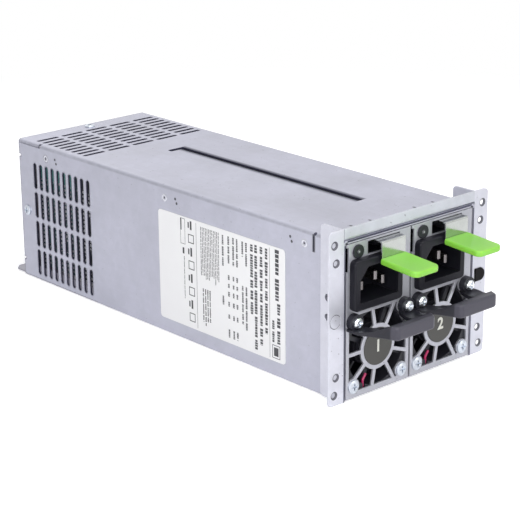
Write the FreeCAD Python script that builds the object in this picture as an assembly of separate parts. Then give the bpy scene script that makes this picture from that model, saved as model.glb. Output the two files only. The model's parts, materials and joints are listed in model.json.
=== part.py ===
import FreeCAD, Part
import math
import os

# Hot swap server power supply: a steel bay with two pull-out power modules.
# All sizes are millimetres. Solids are drawn with y = 0 on the front face of the ears and
# the rear at +y, z = 0 on the underside and x = 0 midway between the side walls. When a
# solid is written, it is moved back by half the depth, so that the origin of the finished
# part is the middle of its underside.
# The fan and the mains inlet are bought pieces, so the width and height of a module, and
# with them the width and height of the bay, are stacked up from those two.

# Sheet thicknesses and running clearances
sheet = 1.0
module_sheet = 0.8
face_thickness = 1.0
top_bend_radius = 1.6
edge_gap = 0.3
floor_clearance = 0.3
wall_gap = 0.8
middle_gap = 1.2

# Depth of the bay and of the chamber behind the backplane
body_depth = 254.5
rear_chamber = 66.5
board_thickness = 1.6

# Fan
fan_size = 39.8
fan_side_gap = 0.1
fan_floor_gap = 0.2
fan_depth = 28.0
fan_wall = 1.1
fan_corner = 3.0
fan_hole_inset = 3.9
fan_hole_radius = 2.25
strut_count = 4
strut_first_angle = 65.0
strut_width = 2.2
strut_front = 1.6
strut_depth = 2.0
strut_overlap = 0.4
motor_base_radius = 10.2
rotor_gap = 0.8
rotor_depth = 21.0
rotor_hub_radius = 10.5
rotor_tip_gap = 0.6
rotor_blades = 7
blade_thickness = 0.9
blade_edge_margin = 3.0
blade_camber = 0.10
blade_hub_pitch = 52.0
blade_tip_pitch = 34.0
blade_overlap = 1.5
shaft_radius = 1.5
shaft_clearance = 0.05

# Mains inlet
inlet_width = 31.6
inlet_height = 24.5
inlet_flange = 3.6
inlet_corner = 2.4
inlet_rim_radius = 0.9
inlet_left_margin = 2.0
inlet_above_fan = 1.8
inlet_body_width = 27.0
inlet_body_height = 19.8
inlet_body_depth = 19.0
recess_width = 24.8
recess_height = 16.9
recess_depth = 17.0
recess_chamfer_width = 5.0
recess_chamfer_height = 6.0
pin_width = 2.0
pin_height = 4.0
pin_pitch = 14.0
pin_rise = 2.0
pin_tip = 0.8
pin_chamfer = 0.5
earth_lead = 2.0
pin_rear = 26.0

# Status light
light_above_inlet = 0.1
light_left_margin = 7.0
light_bezel_radius = 3.3
light_bezel_proud = 0.8
light_body_radius = 2.5
light_body_depth = 7.0
light_bore_depth = 6.0
light_lens_radius = 1.0
light_lens_proud = 0.3
light_lens_edge = 0.2

# Heights above the light
module_above_light = 1.1
header_clearance = 0.4
header_thickness = 0.6

# Ears and their legs
ear_reach = 9.3
lip_rise = 5.8
leg_depth = 14.1
ear_corner = 2.0
ear_hole_radius = 1.3
ear_sink_radius = 2.3
ear_sink_depth = 0.5
outer_hole_inset = 3.6
outer_hole_low = 5.0
outer_hole_below_top = 6.6
inner_hole_inset = 4.7
inner_hole_low = 13.6
inner_hole_below_top = 15.2
leg_hole_radius = 1.8
leg_hole_y = 9.5
leg_hole_mid_z = 44.6
leg_hole_pitch = 9.5
knockout_margin = 0.65
knockout_groove = 0.35
knockout_depth = 0.3

# Upright lip across the front of the roof
lip_foot_depth = 12.0
lip_bend_radius = 1.5

# Header strip under the front of the roof, and the wall between the bays
header_depth = 17.0
catch_width = 6.0
catch_length = 7.0
catch_y = 8.0
divider_thickness = 0.6
divider_front = 20.0

# Roof vents, side vents and the roof slot; vents are slots with cut corners
vent_corner_share = 0.3
roof_vent_rear_inset = 12.5
roof_vent_front_inset = 10.0
roof_vent_row_pitch = 5.25
roof_vent_column_pitch = 16.6
roof_vent_side_inset = 3.9
roof_vent_length = 13.6
roof_vent_width = 2.1
side_vent_rear_inset = 14.4
side_vent_front_inset = 2.9
side_vent_column_pitch = 5.33
side_vent_row_pitch = 16.55
side_vent_below_top = 11.3
side_vent_above_floor = 2.0
side_vent_length = 14.3
side_vent_width = 2.6
roof_slot_left = 6.2
roof_slot_width = 3.4
roof_slot_corner = 0.8
roof_slot_front = 41.0
roof_slot_rear_inset = 9.8
roof_slot_foot = 6.9
relief_y = 19.7
relief_length = 8.4
relief_width = 1.0
rear_notch_low = 9.5
rear_notch_below_top = 9.1
rear_notch_size = 1.4
seam_length = 19.2
seam_depth = 0.3
seam_notch = 1.6
clinch_front = 25.9
clinch_rear_inset = 24.9
clinch_below_top = 6.7
clinch_radius = 1.9
clinch_depth = 0.25
clinch_core_share = 0.55
weld_x = (-25.2, -12.4, 17.8, 30.5)
weld_y = 13.8
weld_radius = 0.7

# Floor plate and rear panel
shelf_reach = 12.0
shelf_corner = 3.0
floor_flange_height = 7.0
floor_flange_gap = 1.0
panel_inset = 0.5
panel_flange_depth = 10.0
panel_edge_clearance = 4.0
panel_vent_pitch = 5.6
panel_vent_side_inset = 11.0
panel_vent_below_top = 6.2
panel_vent_above_outlet = 4.0
outlet_width = 46.0
outlet_height = 26.0
outlet_mid_z = 20.0
outlet_corner = 8.0
grommet_wall = 2.0
grommet_flange = 2.6
grommet_flange_thickness = 1.4
roof_screw_x = 0.5
panel_screw_inset = 5.8
side_screw_z = 38.5

# Screws
handle_screw_head = 2.6
handle_screw_head_height = 1.7
panel_screw_head = 2.8
fan_screw_head = 3.3
low_head_height = 1.1
screw_shank_radius = 1.3
screw_spare = 0.8
fan_screw_grip = 6.0
crown_share = 0.45
crown_radius_share = 0.72
cross_width = 0.8
cross_reach = 1.7
cross_depth = 0.9

# Rating label on the left wall
label_front = 38.8
label_rear = 132.9
label_bottom = 7.2
label_below_top = 13.2
label_thickness = 0.15
label_corner = 2.0

# Module tray and lid
module_bottom = 0.6
module_rear_gap = 8.0
standoff_radius = 2.5
standoff_height = 2.0
standoff_inset = 6.0
standoff_rear_inset = 12.0
rear_opening_width = 2.6
rear_opening_height = 14.0
rear_opening_pitch = 4.4
rear_opening_rise = 17.0
rear_opening_side = 2.9
rear_opening_floor = 4.0
rear_opening_gap = 4.0
tongue_opening_left = 2.2
tongue_opening_right = 1.2
lid_flange_height = 3.0
lid_flange_front = 8.0
lid_flange_rear = 6.0
lid_slot_lead = 1.0

# Grille in the module's front plate, from the fan's centre
window_side_margin = 0.95
window_end_margin = 1.15
window_corner = 1.0
grille_ring_radius = 11.2
grille_spokes = 9
spoke_width = 1.8
first_spoke_angle = 20.0
fan_pad_radius = 3.9
hub_disc_radius = 9.2
hub_disc_thickness = 0.25

# Fan lead
lead_radius = 0.6
lead_bend = 1.0
lead_angle = 245.0
lead_start_radius = 14.0
lead_exit_rise = 1.6
lead_groove_gap = 0.15
lead_groove_depth = 1.6
lead_groove_rise = 3.8
lead_floor_gap = 0.1
lead_end_gap = 0.2
lead_behind_fan = 9.5
lead_low_run = 3.5
lead_side_step = 8.0
lead_climb = 4.5

# Openings in the module's face above the inlet
window_from_light = 3.2
window_right_margin = 7.2
window_above_inlet = 0.5
window_below_top = 1.0
face_notch_width = 1.4
face_notch_depth = 7.0
face_notch_length = 11.6
face_notch_below_top = 1.6

# Release latch
latch_left_margin = 4.0
latch_right_margin = 1.5
latch_thickness = 0.8
latch_top_gap = 0.2
latch_front = 5.2
latch_pivot_y = 48.0
latch_tooth_width = 4.0
latch_tooth_length = 4.0
latch_tooth_front = 10.5
tab_overhang_left = 0.8
tab_overhang_right = 0.4
tab_length = 21.8
tab_thickness = 3.0
tab_below_leaf = 7.8
tab_drop = 4.0
tab_corner = 3.2
tab_edge = 0.9
finger_inset = 1.6
finger_length = 18.0

# Handle
handle_screw_aside = 0.8
handle_screw_above = 0.5
handle_above_fan_mid = 12.0
handle_height = 6.8
handle_reach = 24.6
handle_bar_depth = 4.3
handle_bar_inset = 8.5
handle_bar_corner = 2.6
handle_shoulder_y = 6.5
handle_shoulder_radius = 8.0
handle_waist_inset = 4.6
handle_waist_y = 14.9
handle_waist_radius = 15.0
handle_root_width = 6.6
handle_root_run = 4.5
handle_arm_width = 6.7
handle_gap_corner = 2.0
handle_edge = 1.3
handle_pad_thickness = 3.2
handle_pad_radius = 4.0
handle_screw_gap = 0.2

# Module electronics
board_behind_fan = 5.0
board_above_floor = 1.9
board_below_top = 4.2
board_rear_gap = 2.0
tongue_bottom = 18.0
tongue_below_top = 14.0
tongue_end_gap = 0.5
part_side_gap = 4.4
capacitor_radius = 9.0
capacitor_behind_edge = 7.0
capacitor_z = (17.0, 38.0)
transformer_side_gap = 6.4
transformer_depth = 28.0
transformer_height = 32.0
transformer_rear_inset = 68.0
transformer_z = 22.0
transformer_core = 5.0
winding_overhang = 3.0
sink_behind_capacitors = 13.0
sink_rear_inset = 38.0
sink_side_gap = 7.4
sink_base = 2.4
sink_fin = 1.0
sink_fin_reach = 7.0
sink_fins = 6
sink_tip = 3.0
sinks_below_top = (16.0, 5.5)

# Backplane and rear electronics
backplane_side_gap = 0.6
backplane_top_gap = 1.7
socket_depth = 6.0
socket_width = 8.6
socket_margin = 4.0
socket_slot = 2.2
socket_web = 0.2
rear_board_from_wall = 5.4
rear_board_rear_inset = 8.5
rear_board_above_floor = 5.0
rear_board_below_top = 4.5
choke_radius = 6.5
choke_bore = 2.6
choke_length = 9.0
chokes = 3
choke_first = 11.0
choke_pitch = 15.5
choke_rise = 21.0
output_capacitor_radius = 5.0
output_capacitor_length = 17.0
output_capacitors = 5
output_capacitor_first = 9.6
output_capacitor_pitch = 10.4
output_capacitor_rise = 54.0
busbar_thickness = 2.0
busbar_width = 16.0
busbar_length = 40.0
busbar_spacing = 24.0
busbar_z = 24.0
buzzer_radius = 6.0
buzzer_depth = 8.0
buzzer_hole = 1.2
buzzer_hole_depth = 2.0
buzzer_from_wall = 17.0
buzzer_z = 60.0

# Alarm reset button in the right ear
button_gap = 0.25
button_edge = 0.9
button_height = 6.7
button_mid_z = 41.1
button_proud = 0.6
button_length = 4.0
switch_depth = 9.0
switch_rim = 1.6
button_travel = 1.2

# Width stack
module_width = fan_size + 2 * (fan_side_gap + module_sheet)
module_half = module_width / 2
module_pitch = module_width + middle_gap
body_width = 2 * (module_width + wall_gap + sheet) + middle_gap
wall_x = body_width / 2
inner_x = wall_x - sheet
ear_span = body_width + 2 * ear_reach
housing_side = module_half - module_sheet
inlet_offset = -module_half + inlet_left_margin + inlet_width / 2
light_offset = -module_half + light_left_margin
latch_window_left = light_offset + light_bezel_radius + window_from_light
latch_window_right = module_half - window_right_margin
latch_left = latch_window_left + latch_left_margin
latch_right = latch_window_right - latch_right_margin
tab_left = latch_left - tab_overhang_left
tab_right = latch_right + tab_overhang_right
tooth_mid = (latch_left + latch_right) / 2
handle_waist_half = module_half - handle_waist_inset
handle_bar_half = module_half - handle_bar_inset
handle_gap_half = handle_bar_half - handle_arm_width
button_left = wall_x + sheet + edge_gap
button_right = ear_span / 2 - button_edge

# Height stack
floor_top = sheet
housing_bottom = floor_top + floor_clearance
fan_mid_z = housing_bottom + module_sheet + fan_floor_gap + fan_size / 2
inlet_mid_z = fan_mid_z + fan_size / 2 + inlet_above_fan + inlet_height / 2
inlet_top = inlet_mid_z + inlet_height / 2
light_mid_z = inlet_top + light_above_inlet + light_bezel_radius
module_top = light_mid_z + light_bezel_radius + module_above_light
header_bottom = module_top + header_clearance
roof_under = header_bottom + header_thickness
body_height = roof_under + sheet
ear_height = body_height + lip_rise
latch_window_bottom = inlet_top + window_above_inlet
latch_window_top = module_top - window_below_top
latch_top = latch_window_top - latch_top_gap
latch_tooth_top = header_bottom - edge_gap
tab_top = latch_top - tab_below_leaf
finger_mid_z = tab_top - tab_thickness / 2
handle_bottom = fan_mid_z + handle_above_fan_mid
board_bottom = housing_bottom + module_sheet + board_above_floor
board_top = module_top - board_below_top
tongue_top = board_top - tongue_below_top
backplane_top = roof_under - backplane_top_gap

# Depth stack
backplane_y = body_depth - rear_chamber
backplane_rear = backplane_y + board_thickness
module_length = backplane_y - module_rear_gap
tongue_length = module_rear_gap - tongue_end_gap
panel_screw_y = body_depth - panel_screw_inset
roof_slot_rear = backplane_y - roof_slot_rear_inset
fan_rear = face_thickness + fan_depth
board_front = fan_rear + board_behind_fan
capacitor_y = board_front + capacitor_behind_edge + capacitor_radius
sink_front = capacitor_y + capacitor_radius + sink_behind_capacitors
transformer_y = module_length - transformer_rear_inset

# Places taken from the fan
fan_bore_radius = fan_size / 2 - fan_wall
fan_hole_offset = fan_size / 2 - fan_hole_inset
handle_screw_offset = fan_hole_offset + handle_screw_aside
handle_screw_z = fan_mid_z + fan_hole_offset + handle_screw_above
board_face = housing_side - standoff_height - board_thickness

# Output stage
rear_board_x = -inner_x + rear_board_from_wall
rear_board_bottom = floor_top + rear_board_above_floor

X = FreeCAD.Vector(1, 0, 0)
Y = FreeCAD.Vector(0, 1, 0)
Z = FreeCAD.Vector(0, 0, 1)


def vec(x, y, z):
    return FreeCAD.Vector(x, y, z)


def box(x0, x1, y0, y1, z0, z1):
    return Part.makeBox(x1 - x0, y1 - y0, z1 - z0, vec(x0, y0, z0))


def rod(radius, start, length, along):
    return Part.makeCylinder(radius, length, start, along)


def joined(shapes):
    first = shapes[0]
    if len(shapes) == 1:
        return first
    return first.multiFuse(shapes[1:]).removeSplitter()


def without(solid, cutters):
    return solid.cut(Part.makeCompound(cutters))


def face_of(points):
    return Part.Face(Part.makePolygon(points + [points[0]]))


def extruded(points, direction):
    return face_of(points).extrude(direction)


def rounded_rectangle(u0, u1, v0, v1, radius, place):
    """Closed wire of a rounded rectangle; place turns (u, v) into a point."""
    corners = ((u1 - radius, v0 + radius, -90), (u1 - radius, v1 - radius, 0),
               (u0 + radius, v1 - radius, 90), (u0 + radius, v0 + radius, 180))
    edges = []
    ends = []
    for cu, cv, start in corners:
        arc = [place(cu + radius * math.cos(math.radians(start + turn)),
                     cv + radius * math.sin(math.radians(start + turn))) for turn in (0, 45, 90)]
        edges.append(Part.Arc(*arc).toShape())
        ends.append((arc[0], arc[2]))
    for index in range(4):
        a = ends[index][1]
        b = ends[(index + 1) % 4][0]
        if a.distanceToPoint(b) > 1e-6:
            edges.append(Part.makeLine(a, b))
    return Part.Wire(Part.__sortEdges__(edges))


def rounded_plate_xz(x0, x1, z0, z1, radius, y0, y1):
    wire = rounded_rectangle(x0, x1, z0, z1, radius, lambda u, v: vec(u, y0, v))
    return Part.Face(wire).extrude(Y * (y1 - y0))


def rounded_plate_yz(y0, y1, z0, z1, radius, x0, x1):
    wire = rounded_rectangle(y0, y1, z0, z1, radius, lambda u, v: vec(x0, u, v))
    return Part.Face(wire).extrude(X * (x1 - x0))


def rounded_plate_xy(x0, x1, y0, y1, radius, z0, z1):
    wire = rounded_rectangle(x0, x1, y0, y1, radius, lambda u, v: vec(u, v, z0))
    return Part.Face(wire).extrude(Z * (z1 - z0))


def slot_outline(u0, u1, v_mid, width, place):
    """Corner points of a vent: a slot along u with its corners cut off."""
    half = width / 2
    cut = width * vent_corner_share
    return [place(u, v) for u, v in (
        (u0 + cut, v_mid - half), (u1 - cut, v_mid - half), (u1, v_mid - half + cut),
        (u1, v_mid + half - cut), (u1 - cut, v_mid + half), (u0 + cut, v_mid + half),
        (u0, v_mid + half - cut), (u0, v_mid - half + cut))]


def slot_xy(x0, x1, y_mid, width, z0, z1):
    """Vent cutter through the roof, long side along x."""
    return extruded(slot_outline(x0, x1, y_mid, width, lambda u, v: vec(u, v, z0)), Z * (z1 - z0))


def slot_yz(y_mid, z0, z1, width, x0, x1):
    """Upright vent cutter through a side wall."""
    return extruded(slot_outline(z0, z1, y_mid, width, lambda u, v: vec(x0, v, u)), X * (x1 - x0))


def slot_xz(x_mid, z0, z1, width, y0, y1):
    """Upright vent cutter through the rear wall."""
    return extruded(slot_outline(z0, z1, x_mid, width, lambda u, v: vec(v, y0, u)), Y * (y1 - y0))


def copies(room, pitch):
    """How many copies of a pattern have their centres within a stretch."""
    return 1 + int(room / pitch)


def tangent_arc(before, corner, after, radius):
    """Start, middle and end of the arc that rounds one corner of a path."""
    into = (corner - before).normalize()
    out = (after - corner).normalize()
    half_turn = into.getAngle(out) / 2
    cut = radius * math.tan(half_turn)
    toward = (out - into).normalize()
    centre = corner + toward * (radius / math.cos(half_turn))
    return corner - into * cut, centre - toward * radius, corner + out * cut


def rounded_outline(corners, z):
    """Closed wire through (x, y, radius) corners; a radius of 0 leaves a corner sharp."""
    points = [vec(x, y, z) for x, y, radius in corners]
    edges = []
    ends = []
    for index, (x, y, radius) in enumerate(corners):
        corner = points[index]
        after = points[(index + 1) % len(points)]
        start, end = corner, corner
        if radius > 0:
            start, middle, end = tangent_arc(points[index - 1], corner, after, radius)
            edges.append(Part.Arc(start, middle, end).toShape())
        ends.append((start, end))
    for index in range(len(ends)):
        edges.append(Part.makeLine(ends[index - 1][1], ends[index][0]))
    return Part.Wire(Part.__sortEdges__(edges))


def screw(head_radius, head_height, shank_length, seat, outward):
    """Pan head screw with a cross recess: seat is the point under the head."""
    crown = head_height * crown_share
    rim = head_height - crown
    crown_radius = head_radius * crown_radius_share
    solid = joined([rod(head_radius, vec(0, 0, 0), rim, Z),
                    Part.makeCone(head_radius, crown_radius, crown, vec(0, 0, rim), Z),
                    rod(screw_shank_radius, vec(0, 0, -shank_length), shank_length, Z)])
    reach = min(cross_reach, crown_radius)
    top = head_height + 1
    floor = head_height - cross_depth
    solid = without(solid, [
        box(-reach, reach, -cross_width / 2, cross_width / 2, floor, top),
        box(-cross_width / 2, cross_width / 2, -reach, reach, floor, top)])
    turn = FreeCAD.Rotation(Z, outward)
    solid.Placement = FreeCAD.Placement(seat, turn)
    return solid


def bend_arc(start, middle, end):
    return Part.Arc(start, middle, end).toShape()


def chassis_shell():
    """Roof and both side walls, bent from one sheet."""
    r = top_bend_radius
    ri = r - sheet
    k = math.sqrt(0.5)
    h = body_height
    w = wall_x
    outline = Part.Wire([
        Part.makeLine(vec(-w, 0, 0), vec(-w, 0, h - r)),
        bend_arc(vec(-w, 0, h - r), vec(-w + r - r * k, 0, h - r + r * k), vec(-w + r, 0, h)),
        Part.makeLine(vec(-w + r, 0, h), vec(w - r, 0, h)),
        bend_arc(vec(w - r, 0, h), vec(w - r + r * k, 0, h - r + r * k), vec(w, 0, h - r)),
        Part.makeLine(vec(w, 0, h - r), vec(w, 0, 0)),
        Part.makeLine(vec(w, 0, 0), vec(inner_x, 0, 0)),
        Part.makeLine(vec(inner_x, 0, 0), vec(inner_x, 0, h - r)),
        bend_arc(vec(inner_x, 0, h - r), vec(w - r + ri * k, 0, h - r + ri * k), vec(w - r, 0, roof_under)),
        Part.makeLine(vec(w - r, 0, roof_under), vec(-w + r, 0, roof_under)),
        bend_arc(vec(-w + r, 0, roof_under), vec(-w + r - ri * k, 0, h - r + ri * k), vec(-inner_x, 0, h - r)),
        Part.makeLine(vec(-inner_x, 0, h - r), vec(-inner_x, 0, 0)),
        Part.makeLine(vec(-inner_x, 0, 0), vec(-w, 0, 0))])
    solid = Part.Face(outline).extrude(Y * body_depth)
    return without(solid, shell_cuts())


def shell_cuts():
    return roof_cuts() + side_vent_cuts() + wall_cuts(-1) + wall_cuts(1)


def roof_cuts():
    """Vent rows, the slot with its foot, the weld marks and the screw hole of the roof."""
    cuts = []
    above = body_height + 1
    below = roof_under - 1
    columns = copies(body_width - 2 * roof_vent_side_inset - roof_vent_length, roof_vent_column_pitch)
    rows = copies(rear_chamber - roof_vent_rear_inset - roof_vent_front_inset, roof_vent_row_pitch)
    for row in range(rows):
        y = body_depth - roof_vent_rear_inset - row * roof_vent_row_pitch
        for column in range(columns):
            x = (column - (columns - 1) / 2) * roof_vent_column_pitch
            half = roof_vent_length / 2
            cuts.append(slot_xy(x - half, x + half, y, roof_vent_width, below, above))
    right = roof_slot_left + roof_slot_width
    cuts.append(joined([
        rounded_plate_xy(roof_slot_left, right, roof_slot_front, roof_slot_rear,
                         roof_slot_corner, below, above),
        rounded_plate_xy(roof_slot_left - roof_slot_foot, right, roof_slot_rear - roof_slot_width,
                         roof_slot_rear, roof_slot_corner, below, above)]))
    for x in weld_x:
        cuts.append(rod(weld_radius, vec(x, weld_y, body_height - clinch_depth), 1.0, Z))
    cuts.append(rod(screw_shank_radius, vec(roof_screw_x, panel_screw_y, below), above - below, Z))
    return cuts


def side_vent_cuts():
    """Vents of the left wall, beside the output stage."""
    cuts = []
    first_top = body_height - side_vent_below_top
    for row in range(copies(first_top - side_vent_above_floor - side_vent_length, side_vent_row_pitch)):
        top = first_top - row * side_vent_row_pitch
        for column in range(copies(rear_chamber - side_vent_rear_inset - side_vent_front_inset,
                                   side_vent_column_pitch)):
            y = body_depth - side_vent_rear_inset - column * side_vent_column_pitch
            cuts.append(slot_yz(y, top - side_vent_length, top, side_vent_width, -wall_x - 1, -inner_x + 1))
    return cuts


def wall_cuts(side):
    """Relief slot, notches, holes, clinch marks and the rear seam of one side wall."""
    lo, hi = sorted((side * (wall_x + 1), side * (inner_x - 1)))
    cuts = [box(lo, hi, relief_y - relief_width / 2, relief_y + relief_width / 2,
                roof_under - relief_length, roof_under)]
    for z in (rear_notch_low, body_height - rear_notch_below_top):
        cuts.append(box(lo, hi, body_depth - rear_notch_size, body_depth + 1, z - rear_notch_size / 2,
                        z + rear_notch_size / 2))
    for z in leg_hole_heights():
        cuts.append(rod(leg_hole_radius, vec(lo, leg_hole_y, z), hi - lo, X))
    cuts.append(rod(screw_shank_radius, vec(lo, panel_screw_y, side_screw_z), hi - lo, X))
    clinch_rear = body_depth - clinch_rear_inset
    for y in (clinch_front, (clinch_front + clinch_rear) / 2, clinch_rear):
        start = vec(side * (wall_x - clinch_depth), y, body_height - clinch_below_top)
        cuts.append(rod(clinch_radius, start, 1.0, X * side).cut(
            rod(clinch_radius * clinch_core_share, start, 1.0, X * side)))
    seam_z = body_height - top_bend_radius
    seam_front = body_depth - seam_length
    lo, hi = sorted((side * (wall_x - seam_depth), side * (wall_x + 1)))
    cuts.append(box(lo, hi, seam_front, body_depth + 1, seam_z - seam_depth, seam_z))
    lo, hi = sorted((side * (wall_x - top_bend_radius), side * (wall_x + 1)))
    cuts.append(box(lo, hi, seam_front - seam_notch / 2, seam_front + seam_notch / 2,
                    seam_z, body_height + 1))
    return cuts


def leg_hole_heights():
    return (leg_hole_mid_z - leg_hole_pitch / 2, leg_hole_mid_z + leg_hole_pitch / 2)


def chassis_base():
    """Floor plate with side flanges in the rear chamber and a shelf behind the rear panel."""
    front = face_thickness + edge_gap
    rear = body_depth + shelf_reach
    c = shelf_corner
    plate = extruded([vec(-inner_x, front, 0), vec(inner_x, front, 0), vec(inner_x, rear - c, 0),
                      vec(inner_x - c, rear, 0), vec(-inner_x + c, rear, 0), vec(-inner_x, rear - c, 0)],
                     Z * sheet)
    parts = [plate]
    flange_front = backplane_rear + floor_flange_gap
    flange_rear = body_depth - panel_inset - panel_flange_depth - floor_flange_gap
    for side in (-1, 1):
        outer = side * inner_x
        inner = side * (inner_x - sheet)
        parts.append(box(min(outer, inner), max(outer, inner), flange_front, flange_rear,
                         0, floor_flange_height))
    return joined(parts)


def rear_panel():
    """Rear wall with roof and side flanges, vents and the cable outlet."""
    back = body_depth - panel_inset
    front = back - sheet
    flange_front = back - panel_flange_depth
    top = roof_under
    inset = panel_edge_clearance
    corner = top_bend_radius
    wall = extruded([vec(-inner_x, front, floor_top), vec(inner_x, front, floor_top),
                     vec(inner_x, front, top - corner), vec(inner_x - corner, front, top),
                     vec(-inner_x + corner, front, top), vec(-inner_x, front, top - corner)], Y * sheet)
    parts = [wall,
             box(-inner_x + inset, inner_x - inset, flange_front, back, top - sheet, top)]
    for side in (-1, 1):
        outer = side * inner_x
        inner = side * (inner_x - sheet)
        parts.append(box(min(outer, inner), max(outer, inner), flange_front, back,
                         floor_top + inset, top - inset))
    outlet_top = outlet_mid_z + outlet_height / 2
    cuts = [rounded_plate_xz(-outlet_width / 2, outlet_width / 2, outlet_mid_z - outlet_height / 2,
                             outlet_top, outlet_corner, front - 1, back + 1)]
    first_top = body_height - panel_vent_below_top
    columns = copies(2 * inner_x - 2 * panel_vent_side_inset, panel_vent_pitch)
    for row in range(copies(first_top - outlet_top - panel_vent_above_outlet - side_vent_length,
                            side_vent_row_pitch)):
        z_top = first_top - row * side_vent_row_pitch
        for column in range(columns):
            x = (column - (columns - 1) / 2) * panel_vent_pitch
            cuts.append(slot_xz(x, z_top - side_vent_length, z_top, side_vent_width, front - 1, back + 1))
    cuts.append(rod(screw_shank_radius, vec(roof_screw_x, panel_screw_y, top - sheet - 1), sheet + 2, Z))
    cuts.append(rod(screw_shank_radius, vec(-wall_x, panel_screw_y, side_screw_z), body_width, X))
    return without(joined(parts), cuts)


def cable_grommet():
    """Bushing that lines the cable outlet."""
    back = body_depth - panel_inset
    front = back - sheet
    w = outlet_width / 2
    h = outlet_height / 2
    z = outlet_mid_z
    f = grommet_flange
    g = grommet_wall
    t = grommet_flange_thickness
    parts = [rounded_plate_xz(-w - f, w + f, z - h - f, z + h + f, outlet_corner + f, back, back + t),
             rounded_plate_xz(-w, w, z - h, z + h, outlet_corner, front - 1, back + 1),
             rounded_plate_xz(-w - f / 2, w + f / 2, z - h - f / 2, z + h + f / 2, outlet_corner + f / 2,
                              front - t, front)]
    hole = rounded_plate_xz(-w + g, w - g, z - h + g, z + h - g, outlet_corner - g,
                            front - t - 1, back + t + 1)
    return joined(parts).cut(hole)


def ear_holes():
    """Places (x, z) of the four tapped holes of one ear."""
    outer = ear_span / 2 - outer_hole_inset
    inner = ear_span / 2 - inner_hole_inset
    return ((outer, outer_hole_low), (outer, ear_height - outer_hole_below_top),
            (inner, inner_hole_low), (inner, ear_height - inner_hole_below_top))


def bracket(side):
    """Ear and leg of one mounting bracket; side is -1 for left and 1 for right."""
    outer = ear_span / 2
    ear = rounded_plate_xz(wall_x - ear_corner, outer, 0, ear_height, ear_corner, 0, sheet)
    ear = ear.cut(box(wall_x - ear_corner - 1, wall_x, -1, sheet + 1, -1, ear_height + 1))
    leg = rounded_plate_yz(-ear_corner, leg_depth, 0, ear_height, ear_corner, wall_x, wall_x + sheet)
    leg = leg.cut(box(wall_x - 1, wall_x + sheet + 1, -ear_corner - 1, 0, -1, ear_height + 1))
    solid = joined([ear, leg])
    cuts = []
    for x, z in ear_holes():
        cuts.append(rod(ear_hole_radius, vec(x, -1, z), sheet + 2, Y))
        cuts.append(Part.makeCone(ear_sink_radius, ear_hole_radius, ear_sink_depth, vec(x, 0, z), Y))
    for z in leg_hole_heights():
        cuts.append(rod(leg_hole_radius, vec(wall_x - 1, leg_hole_y, z), sheet + 2, X))
    if side > 0:
        cuts.append(button_outline(0, -1, sheet + 1))
    else:
        x_mid = (wall_x + sheet + outer) / 2
        radius = (ear_reach - sheet) / 2 - knockout_margin
        ring = rod(radius, vec(x_mid, -1, button_mid_z), 1 + knockout_depth, Y)
        cuts.append(ring.cut(rod(radius - knockout_groove, vec(x_mid, -2, button_mid_z), 4, Y)))
    solid = without(solid, cuts)
    if side < 0:
        solid = solid.mirror(vec(0, 0, 0), X)
    return solid


def button_outline(shrink, y0, y1):
    """D-shaped prism, flat on the inner side and round on the outer side."""
    x0 = button_left + shrink
    x1 = button_right - shrink
    half = button_height / 2 - shrink
    straight = x1 - half
    wire = Part.Wire([
        Part.makeLine(vec(x0, y0, button_mid_z - half), vec(straight, y0, button_mid_z - half)),
        Part.Arc(vec(straight, y0, button_mid_z - half), vec(x1, y0, button_mid_z),
                 vec(straight, y0, button_mid_z + half)).toShape(),
        Part.makeLine(vec(straight, y0, button_mid_z + half), vec(x0, y0, button_mid_z + half)),
        Part.makeLine(vec(x0, y0, button_mid_z + half), vec(x0, y0, button_mid_z - half))])
    return Part.Face(wire).extrude(Y * (y1 - y0))


def reset_button():
    return button_outline(button_gap, -button_proud, -button_proud + button_length)


def reset_switch():
    """Switch body behind the right ear, with a pocket that guides the button."""
    half = button_height / 2 + switch_rim
    body = box(button_left - button_gap, button_right, sheet, sheet + switch_depth,
               button_mid_z - half, button_mid_z + half)
    pocket_rear = button_length - button_proud + button_travel + edge_gap
    return body.cut(button_outline(0, sheet - 1, pocket_rear))


def front_lip():
    """Angle on the front of the roof: foot on the roof, upright leg level with the ears."""
    r = lip_bend_radius
    k = 1 - math.sqrt(0.5)
    z0 = body_height
    x0 = -wall_x + edge_gap
    profile = Part.Wire([
        Part.makeLine(vec(x0, r, z0), vec(x0, lip_foot_depth, z0)),
        Part.makeLine(vec(x0, lip_foot_depth, z0), vec(x0, lip_foot_depth, z0 + sheet)),
        Part.makeLine(vec(x0, lip_foot_depth, z0 + sheet), vec(x0, r, z0 + sheet)),
        Part.makeLine(vec(x0, r, z0 + sheet), vec(x0, sheet, z0 + r)),
        Part.makeLine(vec(x0, sheet, z0 + r), vec(x0, sheet, ear_height)),
        Part.makeLine(vec(x0, sheet, ear_height), vec(x0, 0, ear_height)),
        Part.makeLine(vec(x0, 0, ear_height), vec(x0, 0, z0 + r)),
        Part.Arc(vec(x0, 0, z0 + r), vec(x0, r * k, z0 + r * k), vec(x0, r, z0)).toShape()])
    return Part.Face(profile).extrude(X * (wall_x - x0))


def bay_header():
    """Strip under the front of the roof, with a catch slot over each module's latch."""
    half = inner_x - top_bend_radius
    strip = box(-half, half, 0, header_depth, header_bottom, roof_under)
    cuts = []
    for centre in module_centres():
        mid = centre + tooth_mid
        cuts.append(box(mid - catch_width / 2, mid + catch_width / 2, catch_y, catch_y + catch_length,
                        header_bottom - 1, roof_under + 1))
    return without(strip, cuts)


def bay_divider():
    """Thin upright sheet between the two modules."""
    half = divider_thickness / 2
    rear = backplane_y - socket_depth - edge_gap
    return box(-half, half, divider_front, rear, floor_top, roof_under)


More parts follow.
